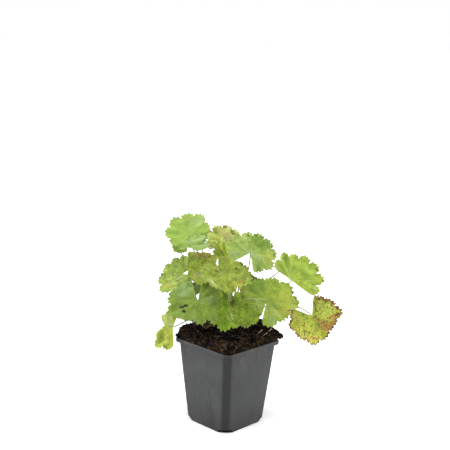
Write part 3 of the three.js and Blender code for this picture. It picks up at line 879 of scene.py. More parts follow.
# Each leaf: hub, upper side's azimuth and elevation, midrib turn, radius, and where its
# stalk leaves the crown, all as in the solids; then how its blade looks.
LEAVES = {
    "leaf_01": dict(
        hub=(-30, -37, 223), face=(-58, 36, -166), radius=27, seed=1, root=(-118, 4), slot="leaf_lime",
        reach=(0.9, 0.88, 1.02, 1.12, 1.02, 1.14, 1.14, 0.92, 0.82), sinus=22, cup=0.06, pleat=0.012,
        tone="top_lime", mottle=0.22, bloom=0.25),
    "leaf_02": dict(
        SMALL, hub=(-52, -32, 206), face=(-66, 30, -30), radius=11, seed=2, root=(-153, 10.8),
        arrive=(0.25, 0.1, -0.95), reach=(1, 0.75, 0.8, 0.8, 0.85, 1.25, 1.2), slot="leaf_lime",
        tone="small_lime"),
    "leaf_03": dict(
        SMALL, hub=(-7, -43, 219), face=(-38, 66, -60), radius=17, seed=7, root=(140, 4), droop=20,
        arrive=(-0.25, 0.55, -0.75), reach=(1, 1, 1, 1, 0.86, 0.74, 0.86), tone="bluish", mottle=0.9,
        bloom=0.6),
    "leaf_04": dict(
        hub=(-18, 11, 205), face=(-41, 36, 174), radius=28, seed=8, root=(-66, 4), slot="leaf_yellow",
        arrive=(-0.05, 0.27, -0.95), reach=(0.8, 0.85, 0.95, 1.02, 1.05, 1.15, 0.92), lobes=7,
        sinus=150, cup=0.05, crumple=0.6, tone="dry_top", mottle=0.9, specks=0.8, dry=0.55,
        yellowing=0.5),
    "leaf_05": dict(
        hub=(10.5, -8.5, 189), face=(-80, 16, -133), radius=34, seed=19, root=(-15, 4), lobes=3,
        teeth=3, sinus=316, pleat=0.06, reach=(1, 1.04, 0.95), tone="olive"),
    "leaf_06": dict(
        hub=(12, 21, 202), face=(-34, 36, 150), radius=32, seed=2, root=(37, 4), sinus=66, basal=0.05,
        cup=-0.06, arrive=(0.02, 0.02, -1), reach=(0.82, 1.04, 1.02, 1.0, 0.92, 0.87, 0.95, 1.02, 1.06),
        tone="middle", mottle=0.35, bloom=0.6, tips=0.7),
    "leaf_07": dict(
        hub=(44.8, 57.8, 169.8), face=(-28, 25, 141), radius=32, seed=3, root=(38, 7.3), lobes=7,
        sinus=176, cup=0.05, notch=0.16, reach=(1.29, 1.36, 1.25, 1.17, 1.03, 1.16, 1.05),
        slot="leaf_lime", tone="long_lime", mottle=0.28, bloom=0.3),
    "leaf_08": dict(
        hub=(57, 2, 159), face=(-36, 34, 161), radius=32, seed=4, root=(-8, 7.3), sinus=5, basal=0.1,
        cup=-0.05, notch=0.12, reach=(1.08, 1.0, 1.24, 1.15, 0.9, 0.86, 1.02, 0.91, 0.76), crumple=0.2,
        tone="centre", mottle=0.32, bloom=0.3, tips=0.6),
    "leaf_09": dict(
        hub=(81, 54, 136), face=(-46, 25, 34), radius=30, seed=6, root=(22, 10.8), sinus=74, basal=0.05,
        fold=22, notch=0.09, reach=(0.88, 1.08, 1.08, 1.18, 1.02, 0.94, 1.17, 0.96, 0.84), crumple=0.55,
        slot="leaf_yellow", tone="spotted", mottle=0.8, specks=1.4, dry=1, yellowing=0.4),
    "leaf_10": dict(
        hub=(6, -55, 157), face=(-56, 40, 13), radius=35, seed=5, root=(-80, 10.8), sinus=24,
        basal=0.1, cup=-0.08, reach=(1.04, 1.13, 1.1, 0.74, 0.8, 0.87, 0.8, 0.82, 0.88), tone="low",
        mottle=0.4, bloom=0.42),
    "leaf_11": dict(
        hub=(24, -36, 189), face=(-40, 58, 16), radius=28, seed=10, root=(-56, 7.3), sinus=8, basal=0.1,
        wave=0.13, crumple=0.75, reach=(0.95, 0.95, 1, 1, 1.02, 1.1, 1.0, 0.95, 0.95),
        slot="leaf_yellow", tone="mottled", mottle=0.9, specks=0.7, dry=0.3, yellowing=0.3),
    "leaf_12": dict(
        SMALL, hub=(-4, -37, 188), face=(-60, 42, -61), radius=19, seed=20, root=(-92, 7.3), basal=0.1,
        wave=0.14, crumple=0.75, slot="leaf_yellow", tone="mottled_low_painted_light", mottle=0.9, specks=0.8,
        dry=0.5, yellowing=0.4),
    "leaf_13": dict(
        hub=(50, -28, 150), face=(-38, 45, 4), radius=21, seed=11, root=(-26, 10.8), sinus=14,
        arrive=(-0.25, 1, -0.1), reach=(0.62, 0.85, 1, 1, 1, 1, 1, 0.85, 0.62), slot="leaf_lime",
        tone="deep_lime", mottle=0.9, bloom=0, specks=0.3),
    "leaf_14": dict(
        hub=(24, -24, 152), face=(-54, 12, -8), radius=27, seed=12, root=(-48, 10.8),
        reach=(1.0, 0.9, 1, 1.1, 1.19, 1.05, 0.78, 0.62, 0.8), tone="hanging_painted_light", mottle=0.45, bloom=0.35,
        specks=0.2),
    "leaf_15": dict(
        hub=(-33, -44, 178), face=(-71, 40, -65), radius=30, seed=13, root=(-120, 7.3), basal=0.1,
        fold=10, reach=(0.85, 0.8, 0.75, 0.8, 0.97, 1.1, 0.88, 0.7, 0.7), crumple=0.55,
        slot="leaf_yellow", tone="left", mottle=0.65, specks=0.35, yellowing=0.3),
    "leaf_16": dict(
        SMALL, hub=(-32, -16, 191), face=(-51, 42, -170), radius=20, seed=14, root=(-152, 7.3),
        reach=(1.1, 1.1, 0.6, 0.52, 0.86, 1, 1), crumple=0.7, slot="leaf_yellow", tone="left_low_painted_light",
        mottle=0.9, specks=0.4, yellowing=0.5),
    "leaf_17": dict(
        hub=(-43.3, -47.3, 113), face=(-71, 20, -90), radius=24, seed=15, root=(-138, 10.8), lobes=7,
        sinus=140, fold=10, arrive=(0.7, 0.6, 0.35), reach=(0.87, 0.9, 0.87, 0.46, 0.88, 1.37, 1.28),
        crumple=0.45, slot="leaf_yellow", tone="rim_lime", mottle=0.9, specks=0.2, yellowing=0.4),
    "leaf_18": dict(
        SMALL, hub=(-25, -41, 133), face=(-61, 66, -43), radius=17, seed=16, root=(-108, 10.8),
        reach=(1, 1, 1, 1, 0.85, 1, 1), slot="leaf_yellow", tone="ground", specks=0.3),
    "leaf_19": dict(
        SMALL, hub=(11.6, 6.8, 173), face=(-16, 22, 150), radius=16, seed=17, root=(88, 4), sinus=24,
        reach=(1.15, 1, 1, 1, 1, 1, 1.15), tone="middle_low_painted_light"),
    "leaf_20": dict(BACK, hub=(-14, 54, 149), face=(104, 40, -125), radius=27, seed=21, root=(98, 7.3)),
    "leaf_21": dict(
        BACK, hub=(-48, 16, 152), face=(159, 45, 124), radius=28, seed=22, root=(170, 7.3),
        yellowing=0.2),
    "leaf_22": dict(BACK, hub=(-54, 58, 160), face=(134, 35, -2), radius=25, seed=23, root=(136, 7.3)),
    "leaf_23": dict(
        BACK, hub=(14, 53, 133), face=(64, 30, -106), radius=21, seed=24, root=(58, 10.8), lobes=7),
    "leaf_24": dict(
        BACK, hub=(-54, -11, 137), face=(-166, 30, 101), radius=22, seed=25, root=(-168, 10.8), lobes=7),
    "leaf_25": dict(
        BACK, hub=(-44, 58, 123), face=(129, 25, 1), radius=27, seed=26, root=(126, 10.8), specks=0.2),
    "leaf_26": dict(
        hub=(27, 66, 184), face=(-26, 25, 124), radius=9, seed=27, root=(68, 7.3), lobes=5, teeth=3,
        arrive=(-0.27, -0.5, -0.82), slot="leaf_lime", tone="long_lime"),
    "withered_leaf_1": dict(
        WITHERED, hub=(-5, -27, 123), face=(-66, 50, -57), radius=8, seed=31, foot=(-3, -20, 112, 118.5)),
    "withered_leaf_2": dict(
        WITHERED, hub=(-22, -33, 123), face=(-26, 30, 142), radius=5.5, seed=32,
        foot=(-23, -27, 111, 118)),
}


class Leaf:
    """One leaf's values, with the plain ones where the table gives none."""

    def __init__(self, name, row):
        self.__dict__.update(PLAIN, name=name, **row)
        self.half = math.pi - math.radians(self.sinus) / 2
        self.rng = chance(self.seed + 100)
        self.tooth_size = self.rng.uniform(0.7, 1.3, self.lobes * self.teeth + 1)
        self.pleats = self.rng.uniform(0.35, 1.25, self.lobes)
        self.swells = self.rng.uniform((0, 8, 0), (math.pi, 18, 6), (7, 3))

    def axes(self):
        """The blade's upper side, midrib and direction across."""
        azimuth, height, roll = self.face
        up = pointing(azimuth, height)
        down = Vector((0, 0, -1))
        down = (down - up * down.dot(up)).normalized()
        turn = math.radians(roll)
        mid = down * math.cos(turn) + up.cross(down) * math.sin(turn)
        return up, mid, up.cross(mid)

    def angle(self, t):
        """The direction from the hub, where t counts the lobes passed so far."""
        return -self.half + 2 * self.half * t / self.lobes

    def in_lobe(self, t):
        """-1 and 1 at a lobe's sides and 0 on its vein."""
        return (t - np.clip(np.floor(t), 0, self.lobes - 1)) * 2 - 1

    def by_lobe(self, t, values):
        """Each lobe's own value on its vein, and a share of both in between."""
        return np.interp(t, np.arange(self.lobes) + 0.5, values)

    def edge_share(self, t, rho):
        """How far the blade reaches, in shares of its radius: smooth inside, toothed at the edge."""
        s = self.in_lobe(t)
        basal = 1 - self.basal * (self.angle(t) / self.half) ** 2
        notch = self.notch * np.abs(s) ** 2.6
        turn = (s + 1) / 2 * self.teeth
        valley = (np.abs(turn % 1 - 0.5) * 2) ** 1.4
        size = self.tooth_size[np.clip(np.floor(t * self.teeth), 0, len(self.tooth_size) - 1).astype(int)]
        smooth_edge = basal * (1 - notch * rho ** 2)
        toothed = basal * (1 - notch) * (1 - TOOTH * valley * size)
        fine = rho ** 6
        share = smooth_edge * (1 - fine) + toothed * fine
        if self.reach:
            share = share * self.by_lobe(t, self.reach)
        return share

    def blade(self, rho, t):
        """Points of the blade's middle surface in the blade's own frame."""
        size = self.radius
        phi = self.angle(t)
        s = self.in_lobe(t)
        q = rho * self.edge_share(t, rho)
        x, y = size * q * np.cos(phi), size * q * np.sin(phi)
        z = self.cup * size * q * q
        pleat = self.pleat * self.by_lobe(t, self.pleats)
        z = z - pleat * size * np.cos(math.pi * s) * q * (1.1 - 0.35 * q)
        waves = np.sin(2 * phi + 1.7 * self.seed) + 0.6 * np.sin(3 * phi + 2.9 * self.seed + 1)
        z = z + self.wave * size * q ** 2.2 * waves
        z = z + math.tan(math.radians(self.fold)) * (np.hypot(y, 0.12 * size) - 0.12 * size)
        z = z + self.quilt(q, s) + self.crumple * self.swelling(x, y) * np.clip(2 * q, 0, 1.3)
        z = z + 0.022 * size * rho ** 4 * np.sin(2 * math.pi * t * 1.3 + self.seed)
        if self.droop:
            k = math.radians(self.droop) / size
            return np.stack([x, (1 / k + z) * np.sin(k * y), (1 / k + z) * np.cos(k * y) - 1 / k], -1)
        return np.stack([x, y, z], -1)

    def swelling(self, x, y):
        """Irregular swellings over the whole blade."""
        height = np.zeros_like(x)
        for turn, length, begin in self.swells:
            run = x * math.cos(turn) + y * math.sin(turn)
            height = height + np.sin(2 * math.pi * run / length + begin) * length / 30
        return height

    def quilt(self, q, s):
        """Low swellings between the side veins."""
        c = q * (1 - 0.42 * np.abs(s)) * SIDE_VEINS
        ripple = 0.5 - 0.5 * np.cos(2 * math.pi * c)
        return self.radius * 0.007 * ripple * np.clip(q * 3, 0, 1) * np.clip(np.abs(s) * 4, 0, 1)

    def place(self, local):
        """Points of the blade's own frame, in metres in the plant's frame."""
        up, mid, across = self.axes()
        return (np.array(self.hub) + local @ np.array([mid, across, up])) * MM

    def stalk_points(self):
        """Foot, neck and hub, with the handles of the bend between neck and hub."""
        if self.foot:
            x, y, low, ground = self.foot
        else:
            turn = math.radians(self.root[0])
            x, y = CROWN_X + self.root[1] * math.cos(turn), CROWN_Y + self.root[1] * math.sin(turn)
            low, ground = STALK_START, CROWN_TOP + 1
        foot, neck, hub = Vector((x, y, low)), Vector((x, y, ground)), Vector(self.hub)
        span = (hub - neck).length
        out = Vector((x - CROWN_X, y - CROWN_Y, 0)).normalized()
        up, mid, _ = self.axes()
        arrive = Vector(self.arrive) if self.arrive else -self.under * up - 0.8 * mid
        first = neck + out * 0.06 * span + Vector((0, 0, self.lift * span))
        second = hub + arrive.normalized() * 0.35 * span
        return foot, neck, first, second, hub


def make_blade(leaf):
    """The blade: a grid laid out over the lobes, then given its thickness."""
    start()
    columns = leaf.lobes * COLUMNS
    bpy.ops.mesh.primitive_grid_add(x_subdivisions=columns, y_subdivisions=ROWS, size=1)
    blade = bpy.context.object
    flat = corners(blade)
    t = (0.5 - flat[:, 0]) * leaf.lobes
    rho = 1 - (1 - (flat[:, 1] + 0.5)) ** 1.25
    local = leaf.blade(rho, t)
    mark_lobes(blade, t / leaf.lobes, rho, local)
    move_corners(blade, leaf.place(local))
    edit(blade, (bpy.ops.mesh.remove_doubles, {"threshold": 1e-7}))
    count = len(blade.data.vertices)
    modify(blade, "SOLIDIFY", thickness=BLADE_THICK * MM, offset=0)
    side = blade.data.attributes.new("side", "FLOAT", "POINT")
    side.data.foreach_set("value", (np.arange(len(blade.data.vertices)) >= count).astype(float))
    smooth(blade, 50)
    return blade


def mark_lobes(blade, u, v, local):
    """Two maps: place along the edge and out from the hub, and the blade's own plane."""
    loops = np.empty(len(blade.data.loops), int)
    blade.data.loops.foreach_get("vertex_index", loops)
    blade.data.uv_layers[0].name = "lobes"
    blade.data.uv_layers.new(name="plane")
    maps = {"lobes": np.stack([u, v], 1), "plane": local[:, :2] / PLANE_UNIT}
    for name, values in maps.items():
        blade.data.uv_layers[name].data.foreach_set("uv", values[loops].ravel())


def make_stalk(leaf):
    """A stalk from the crown to the hub, thicker at its foot."""
    foot, neck, first, second, hub = leaf.stalk_points()
    start()
    bpy.ops.curve.primitive_bezier_curve_add()
    stalk = bpy.context.object
    path = stalk.data.splines[0]
    path.bezier_points.add(1)
    rows = [
        (foot, foot, foot.lerp(neck, 0.33)),
        (neck, foot.lerp(neck, 0.66), first),
        (hub, second, hub),
    ]
    for point, (place, before, after), wide in zip(path.bezier_points, rows, STALK_TAPER):
        point.handle_left_type = point.handle_right_type = "FREE"
        point.co = place * MM
        point.handle_left = before * MM
        point.handle_right = after * MM
        point.radius = wide
    stalk = thicken(stalk, STALK_RADIUS, 14)
    smooth(stalk, 50)
    return stalk


def hair_model():
    """A hair one unit long, standing on its root."""
    start()
    bpy.ops.mesh.primitive_cone_add(vertices=3, radius1=0.045, radius2=0, depth=1, location=(0, 0, 0.5))
    hair = bpy.context.object
    settle(hair)
    return hair


def along(place, way, length):
    """A matrix that stands a hair at a place, pointing one way."""
    way = way / (np.linalg.norm(way) + 1e-12)
    side = np.cross(way, [0.31, 0.52, 0.79])
    side /= np.linalg.norm(side) + 1e-12
    return standing(np.stack([side, np.cross(way, side), way * length], 1) * MM, place)


def make_hairs(leaf):
    """Fine pale hairs round the edge and along the stalk."""
    rng = leaf.rng
    places = []
    count = int(leaf.radius * EDGE_HAIRS)
    t = rng.uniform(0, leaf.lobes, count)
    edge = leaf.place(leaf.blade(np.full(count, 0.995), t))
    inner = leaf.place(leaf.blade(np.full(count, 0.93), t))
    for a, b in zip(edge, inner):
        way = (a - b) / MM + rng.normal(0, 0.5, 3)
        places.append(along(a, way, rng.uniform(0.5, 1.2)))
    _, neck, first, second, hub = leaf.stalk_points()
    _, thick, thin = STALK_TAPER
    for u in rng.uniform(0.04, 0.97, SHORT_STALK_HAIRS if leaf.foot else STALK_HAIRS):
        w = 1 - u
        point = neck * w ** 3 + first * 3 * w * w * u + second * 3 * w * u * u + hub * u ** 3
        run = (first - neck) * w * w + (second - first) * 2 * w * u + (hub - second) * u * u
        side = np.cross(np.array(run), rng.normal(0, 1, 3))
        side /= np.linalg.norm(side)
        root = np.array(point) + side * STALK_RADIUS * (thick * w + thin * u) * 0.9
        places.append(along(root * MM, side + rng.normal(0, 0.3, 3), rng.uniform(0.7, 1.5)))
    return scatter("hairs", hair_model(), places)


def leaf_skin(leaf):
    """A downy blade: mottling, palmate veins, netted quilting with painted shade in its net, a pale rim
    and dark tips.
    """
    shade, body, light = TONES[leaf.tone]
    skin = Skin(leaf.name + "_blade", paint(*body), Specular_IOR_Level=0.15, Subsurface_Weight=0.25,
                Subsurface_Scale=0.0012)
    skin.shader.inputs["Subsurface Radius"].default_value = (0.7, 1.0, 0.25)
    u, v, _ = skin.split(skin.node("UVMap", {"uv_map": "lobes"}))
    under = skin.node("Attribute", {"attribute_name": "side"}, out="Fac")
    s = abs((u * leaf.lobes).part() * 2 - 1)
    wobble = skin.noise(260, 3) - 0.5
    main = (s * v + wobble * 0.008).between(0.035, 0.012) * v.between(1.0, 0.75)
    rise = v * (1 - s * 0.42) * SIDE_VEINS + wobble * 0.25
    ribs = abs(rise.part() - 0.5).between(0.36, 0.47) * v.between(0.1, 0.3) * v.between(1.02, 0.85)
    net = skin.cells(620, "DISTANCE_TO_EDGE").between(0.09, 0.02)
    skin.coat(light, skin.noise(46 + leaf.seed % 7 * 3, 4, 0.6).between(0.48, 0.68) * 0.6)
    skin.coat(shade, skin.noise(95, 4).between(0.48, 0.66) * 0.65)
    mottle = skin.noise(300, 5, 0.7)
    skin.coat(shade, mottle.between(0.52, 0.62) * leaf.mottle)
    skin.coat(light, mottle.between(0.46, 0.38) * leaf.mottle)
    # Painted shade in the sunken net of fine veins, on the upper side only.
    skin.coat(shade, net * 0.22 * (1 - under))
    few, many = 0.56 - leaf.yellowing * 0.25, 0.74 - leaf.yellowing * 0.15
    yellow = skin.noise(70 + leaf.seed, 4, 0.6).between(few, many)
    skin.coat((190, 188, 76), yellow * min(1, leaf.yellowing * 1.2))
    skin.coat((178, 198, 90), ribs * 0.12)
    skin.coat((178, 198, 90), main * 0.3)
    down = skin.noise(58, 4, 0.6, skin.stretched((1, 1, 0.6), (leaf.seed, 0, 0))).between(0.42, 0.66)
    skin.coat((152, 186, 108), down * leaf.bloom * 0.6)
    skin.coat((160, 180, 86), under * 0.4)
    rim = v.between(0.955, 1.0)
    skin.coat((200, 208, 120), rim * 0.35)
    tip = skin.noise(210, 2).between(0.46, 0.58) * v.between(0.93, 0.985)
    skin.coat((84, 74, 36), tip * leaf.tips)
    add_marks(skin, leaf)
    add_specks(skin, leaf)
    if leaf.dry:
        add_dry_edge(skin, leaf, v)
    fine = skin.noise(700, 3, 0.6)
    skin.rough(0.58 + fine * 0.14 - rim * 0.05)
    pucker = skin.noise(210, 3, 0.5)
    skin.bump(fine * 0.25 + pucker * 3.2 - main * 0.9 - net * 0.35 - ribs * 0.6, 0.8, 0.0004)
    return skin


def add_specks(skin, leaf):
    """Brown specks in groups over the blade."""
    group = skin.noise(80, 3, 0.6, skin.stretched((1, 1, 1), (0, leaf.seed, 0)))
    few = 0.66 - 0.2 * leaf.specks
    specks = skin.cells(380).between(0.38, 0.22) * group.between(few, few + 0.1)
    skin.coat((112, 88, 34), specks * min(1.0, leaf.specks))


def add_dry_edge(skin, leaf, v):
    """A ragged dry edge, from straw to brown."""
    ragged = v + (skin.noise(130, 4, 0.65) - 0.5) * 0.5
    dry = ragged.between(1.06 - 0.22 * leaf.dry, 1.12 - 0.15 * leaf.dry)
    husk = skin.mix(paint(176, 132, 74), paint(104, 62, 36), skin.noise(240, 4).between(0.4, 0.62))
    skin.coat(husk, dry)


# The marks' colours.
MARK_PAINTS = {
    "frost": (178, 206, 138),
    "lime": (160, 196, 72),
    "green": (138, 170, 80),
    "olive": (108, 134, 40),
    "yellow": (196, 190, 78),
    "beige": (228, 212, 158),
    "cream": (214, 214, 168),
    "rust": (214, 146, 84),
    "pink": (186, 134, 96),
    "brown": (96, 62, 38),
    "leaf": (116, 150, 42),
    "bright": (220, 232, 112),
    "pale": (222, 234, 158),
    "dark": (66, 66, 30),
    "black": (24, 22, 14),
}

# Single marks on the blades, in the photograph's pixels: where a mark begins and ends, and its
# half width; then its colour and strength.
MARKS = {
    "leaf_01": [
        ((194, 221), (203, 219), 5, "frost", 0.5), ((176, 228), (170, 236), 6, "lime", 0.5),
        ((200, 231), (208, 226), 3, "lime", 0.5), ((199, 237), (207, 234), 2.2, "olive", 0.75),
        ((186, 240), (192, 237), 1.2, "olive", 0.5), ((176, 246), (181, 247), 2, "green", 0.5),
        ((182, 238), (190, 243), 3, "lime", 0.7),
    ],
    "leaf_03": [
        ((189, 242), (209, 237), 1.3, "frost", 0.95), ((192, 247), (211, 244), 1.1, "frost", 0.8),
        ((194, 244.5), (206, 242), 1, "olive", 0.7), ((200, 249), (209, 248), 1, "green", 0.7),
    ],
    "leaf_04": [
        ((220.5, 230), (237.5, 244.5), 3.5, "beige", 0.7), ((222, 226), (226, 227), 1.6, "brown", 0.9),
        ((231, 231), (235, 235), 1.6, "brown", 0.9), ((217, 237), (219, 240), 1.4, "rust", 0.45),
        ((224, 238), (226, 240), 1.6, "brown", 0.5), ((229, 241), (233, 243), 1.4, "brown", 0.6),
        ((214, 231), (220, 229), 2, "yellow", 0.7), ((212, 237), (214, 241), 2.2, "yellow", 0.6),
    ],
    "leaf_05": [((214, 245.5), (229.5, 262), 0.8, "cream", 0.7)],
    "leaf_06": [
        ((256, 240), (264.5, 243.5), 7, "leaf", 1.2), ((247, 250.5), (263.5, 260.5), 2, "frost", 0.85),
        ((248, 235.5), (249, 236.5), 1.3, "dark", 0.9), ((255.5, 235), (257, 236.5), 1.2, "dark", 0.9),
        ((261.5, 237.5), (263.5, 238), 1.3, "dark", 0.9), ((268, 239), (270, 240.5), 1.6, "dark", 0.8),
        ((272.5, 245.5), (272.5, 247.5), 1.5, "dark", 0.8), ((274, 254.5), (274, 256.5), 1.3, "dark", 0.7),
        ((266, 257), (270.5, 261), 4, "yellow", 0.5), ((228, 253.5), (240, 253), 3, "frost", 0.6),
    ],
    "leaf_07": [
        ((305, 267.5), (310.5, 274.5), 7, "lime", 0.6), ((284, 264.5), (286, 258.5), 5, "olive", 0.5),
        ((316.5, 269), (317.5, 270), 1.4, "dark", 0.8), ((322.5, 280), (323, 282), 1.1, "dark", 0.8),
        ((304.5, 261.5), (305.5, 261.5), 1, "dark", 0.4),
    ],
    "leaf_08": [
        ((255, 287), (262, 283), 8, "leaf", 0.75), ((285, 300), (290, 304), 8, "yellow", 0.45),
        ((246, 299), (268, 299), 0.8, "frost", 0.8), ((282, 311), (290, 312), 3, "yellow", 0.9),
        ((289, 311), (294, 312), 1.8, "brown", 0.95), ((292, 292), (293, 294), 1.2, "dark", 0.9),
        ((295, 297), (296, 299), 1.2, "dark", 0.8), ((271, 318), (274, 321), 5, "frost", 0.35),
        ((252, 283), (262, 293), 5, "leaf", 0.6), ((256, 301), (280, 316), 3.5, "pale", 0.25),
    ],
    "leaf_09": [
        ((304, 325), (304, 326), 1, "dark", 0.8), ((311, 326), (311, 327), 1, "dark", 0.8),
        ((299, 330), (299, 331), 1, "dark", 0.7), ((304, 331), (305, 332), 1, "dark", 0.7),
        ((309, 332), (309, 333), 0.9, "dark", 0.7), ((332, 312), (333, 313), 1.2, "dark", 0.9),
        ((310, 338), (322, 340), 1.8, "rust", 0.9), ((321.5, 306.5), (328.5, 312), 7, "bright", 1),
        ((300, 314), (306, 320), 5, "lime", 0.75), ((314, 303), (316, 311), 1.7, "brown", 0.7),
        ((318, 299), (320, 299), 1.3, "brown", 0.9), ((325, 301), (327, 301), 1.3, "brown", 0.9),
        ((331, 304), (332, 306), 1.3, "brown", 0.9), ((315, 316), (328, 332), 1.6, "pink", 0.9),
        ((325, 329), (338, 319), 4.6, "rust", 0.95), ((330, 318), (338, 315), 3, "rust", 0.9),
        ((322, 322), (328, 326), 3, "rust", 0.85), ((338, 314), (341, 315), 2, "brown", 0.95),
        ((299, 318), (302, 323), 5, "yellow", 0.4), ((323, 322), (329, 331), 0.8, "brown", 0.7),
        ((327, 332), (339, 319), 0.7, "brown", 0.6), ((328, 323), (333, 318), 1.4, "bright", 0.7),
        ((333, 314), (339, 316), 1, "brown", 0.7), ((311, 337), (317, 339), 1, "brown", 0.7),
        ((305, 335), (309, 338), 2, "bright", 0.6),
    ],
    "leaf_10": [
        ((182, 291), (188, 288), 7, "frost", 0.6), ((173, 300), (196, 298), 1.6, "leaf", 0.7),
        ((204, 302), (214, 298), 4, "frost", 0.45), ((190, 314), (206, 318), 2.2, "olive", 0.25),
        ((214, 300), (219, 312), 3, "leaf", 0.6), ((187, 283), (191, 287), 1.4, "olive", 0.7),
        # The black spots are painted shade: small holes in the blade, where the dark beneath shows
        # through.
        ((180.5, 307), (183.5, 307), 1.5, "black", 1.6), ((185, 305.5), (187, 306), 1.5, "black", 1.6),
        ((183, 311), (184.5, 311.5), 1.4, "black", 1.6), ((176, 305), (181, 300), 5, "olive", 0.4),
        ((200, 303), (212, 312), 6, "lime", 0.35),
    ],
    "leaf_11": [
        ((228, 285), (229, 287), 1, "dark", 0.8), ((232, 280), (232, 283), 1, "dark", 0.8),
        ((236, 268), (237, 269), 1.3, "dark", 0.8), ((216, 270), (218, 272), 1.5, "brown", 0.7),
        ((210, 279.5), (216, 285.5), 1, "cream", 0.9), ((235, 284), (239, 288), 3.5, "yellow", 0.8),
        ((240, 279), (242, 284), 1.6, "rust", 0.6), ((224, 272), (228, 268), 4, "olive", 0.5),
        ((220, 283), (226, 288), 1.4, "olive", 0.5),
    ],
    "leaf_12": [
        ((211, 268), (213, 270), 1.3, "dark", 0.9), ((196, 273), (199, 276), 2.6, "beige", 0.65),
        ((203, 281), (204, 282), 0.9, "dark", 0.8), ((207, 262), (210, 265), 2.4, "brown", 0.6),
        ((204, 262), (214, 270), 1.2, "brown", 0.6), ((192, 277), (196, 281), 2.4, "yellow", 0.6),
    ],
    "leaf_13": [
        ((233, 304), (236, 304), 2.8, "brown", 0.8), ((229.5, 309), (233, 320), 1, "cream", 0.5),
        ((246, 318), (250, 316), 4, "olive", 0.5), ((252, 306), (257, 311), 1.6, "frost", 0.35),
    ],
    "leaf_14": [
        # The first olive streak is painted shade: the dark hollow between the leaves above this blade.
        ((228, 288), (234, 302), 6, "olive", 0.8), ((224, 291), (226, 306), 3, "leaf", 0.7),
        ((233, 302), (234, 304), 2.8, "brown", 0.7), ((221, 318), (224, 327), 7, "leaf", 0.6),
    ],
    "leaf_15": [
        ((172, 283), (192, 266), 1.1, "cream", 0.7), ((180, 285), (190, 279), 2.6, "olive", 0.6),
        ((173, 275), (174, 276), 1, "dark", 0.8), ((176, 281), (177, 281), 0.8, "dark", 0.6),
        ((165, 283), (170, 288), 3, "yellow", 0.6), ((190, 258), (195, 254), 3.5, "lime", 0.5),
    ],
    "leaf_16": [
        ((199, 256), (206, 256), 4.5, "rust", 0.7), ((201, 262), (203, 262), 1.5, "brown", 0.9),
        ((200, 257), (208, 258), 2, "brown", 0.5), ((203, 253), (207, 256), 1.5, "yellow", 0.8),
        ((210, 260), (212, 264), 3, "yellow", 0.8), ((194, 252.5), (197, 251), 3, "olive", 0.6),
    ],
    "leaf_17": [
        ((161, 336.5), (161, 340), 4.3, "olive", 0.55), ((163.5, 345.5), (164.5, 346.5), 0.9, "dark", 0.8),
        ((166, 313), (169, 323), 5, "pale", 0.75),
    ],
}


def on_photo(places):
    """Where places in metres stand in the photograph, in its pixels."""
    forward, right, up = (np.array(way) for way in camera_axes())
    away = places - np.array(CAMERA_PLACE)
    scale = PHOTO_WIDTH * CAMERA_LENS / CAMERA_FILM / (away @ forward)
    u = PHOTO_WIDTH / 2 + scale * (away @ right)
    v = PHOTO_WIDTH / 2 - scale * (away @ up)
    return np.stack([u, v], -1)


class View:
    """A blade as the photograph shows it, to find the place on it that a spot shows."""

    def __init__(self, leaf):
        t, rho = np.meshgrid(np.linspace(0, leaf.lobes, VIEW_COLUMNS), np.linspace(0.02, 1, VIEW_ROWS))
        local = leaf.blade(rho, t).reshape(-1, 3)
        self.plane = local[:, :2]
        self.seen = on_photo(leaf.place(local))

    def find(self, spot):
        """The place in the blade's plane, in millimetres, nearest to a spot of the photograph."""
        return self.plane[np.linalg.norm(self.seen - spot, axis=1).argmin()]

    def lay(self, begin, end, reach):
        """A mark's middle, half length, half width and turn in the blade's plane."""
        begin, end = np.array(begin), np.array(end)
        run = end - begin
        across = np.array([-run[1], run[0]]) / np.linalg.norm(run) * reach
        middle = (begin + end) / 2
        width = self.find(middle + across) - self.find(middle - across)
        first, last = self.find(begin), self.find(end)
        x, y = last - first
        turn = math.atan2(y, x)
        side = abs(width[1] * math.cos(turn) - width[0] * math.sin(turn)) / 2
        wide = min(max(side, np.linalg.norm(width) / 4), 2.2 * reach)
        return (first + last) / 2, math.hypot(x, y) / 2 + wide, wide, turn


def add_marks(skin, leaf):
    """Single spots, streaks and dried patches, each a ragged ellipse on the blade."""
    if leaf.name not in MARKS:
        return
    view = View(leaf)
    plane = skin.node("UVMap", {"uv_map": "plane"})
    ragged = (skin.noise(330, 5, 0.7) - 0.5) * 2.2
    broken = skin.noise(620, 3, 0.6).between(0.62, 0.42) * 0.6 + 0.4
    for begin, end, reach, name, share in MARKS[leaf.name]:
        (x, y), long, wide, turn = view.lay(begin, end, reach)
        sockets = {
            "Vector": plane,
            "Location": (x / PLANE_UNIT, y / PLANE_UNIT, 0),
            "Rotation": (0, 0, turn),
            "Scale": (long / PLANE_UNIT, wide / PLANE_UNIT, 1),
        }
        local = skin.node("Mapping", {"vector_type": "TEXTURE"}, sockets)
        away = skin.node("VectorMath", {"operation": "LENGTH"}, {0: local}, out="Value")
        skin.coat(MARK_PAINTS[name], (away + ragged).between(1.2, 0.6) * broken * share)


def stalk_skin():
    skin = Skin("leaf_stalk", paint(158, 178, 96), Roughness=0.6, Specular_IOR_Level=0.35,
                Subsurface_Weight=0.2, Subsurface_Scale=0.001)
    line = skin.noise(500, 3, 0.6, skin.stretched((1, 1, 0.15)))
    height = skin.split(skin.place())[2]
    skin.coat((192, 204, 134), line.between(0.4, 0.6))
    skin.coat((138, 120, 70), height.between(0.15, 0.118) * 0.5)
    skin.bump(line, 0.4, 0.0003)
    return skin


def hair_skin():
    skin = Skin("leaf_hair", paint(196, 204, 160), Roughness=0.5, Specular_IOR_Level=0.4)
    skin.coat((228, 230, 200), skin.noise(400, 2))
    return skin


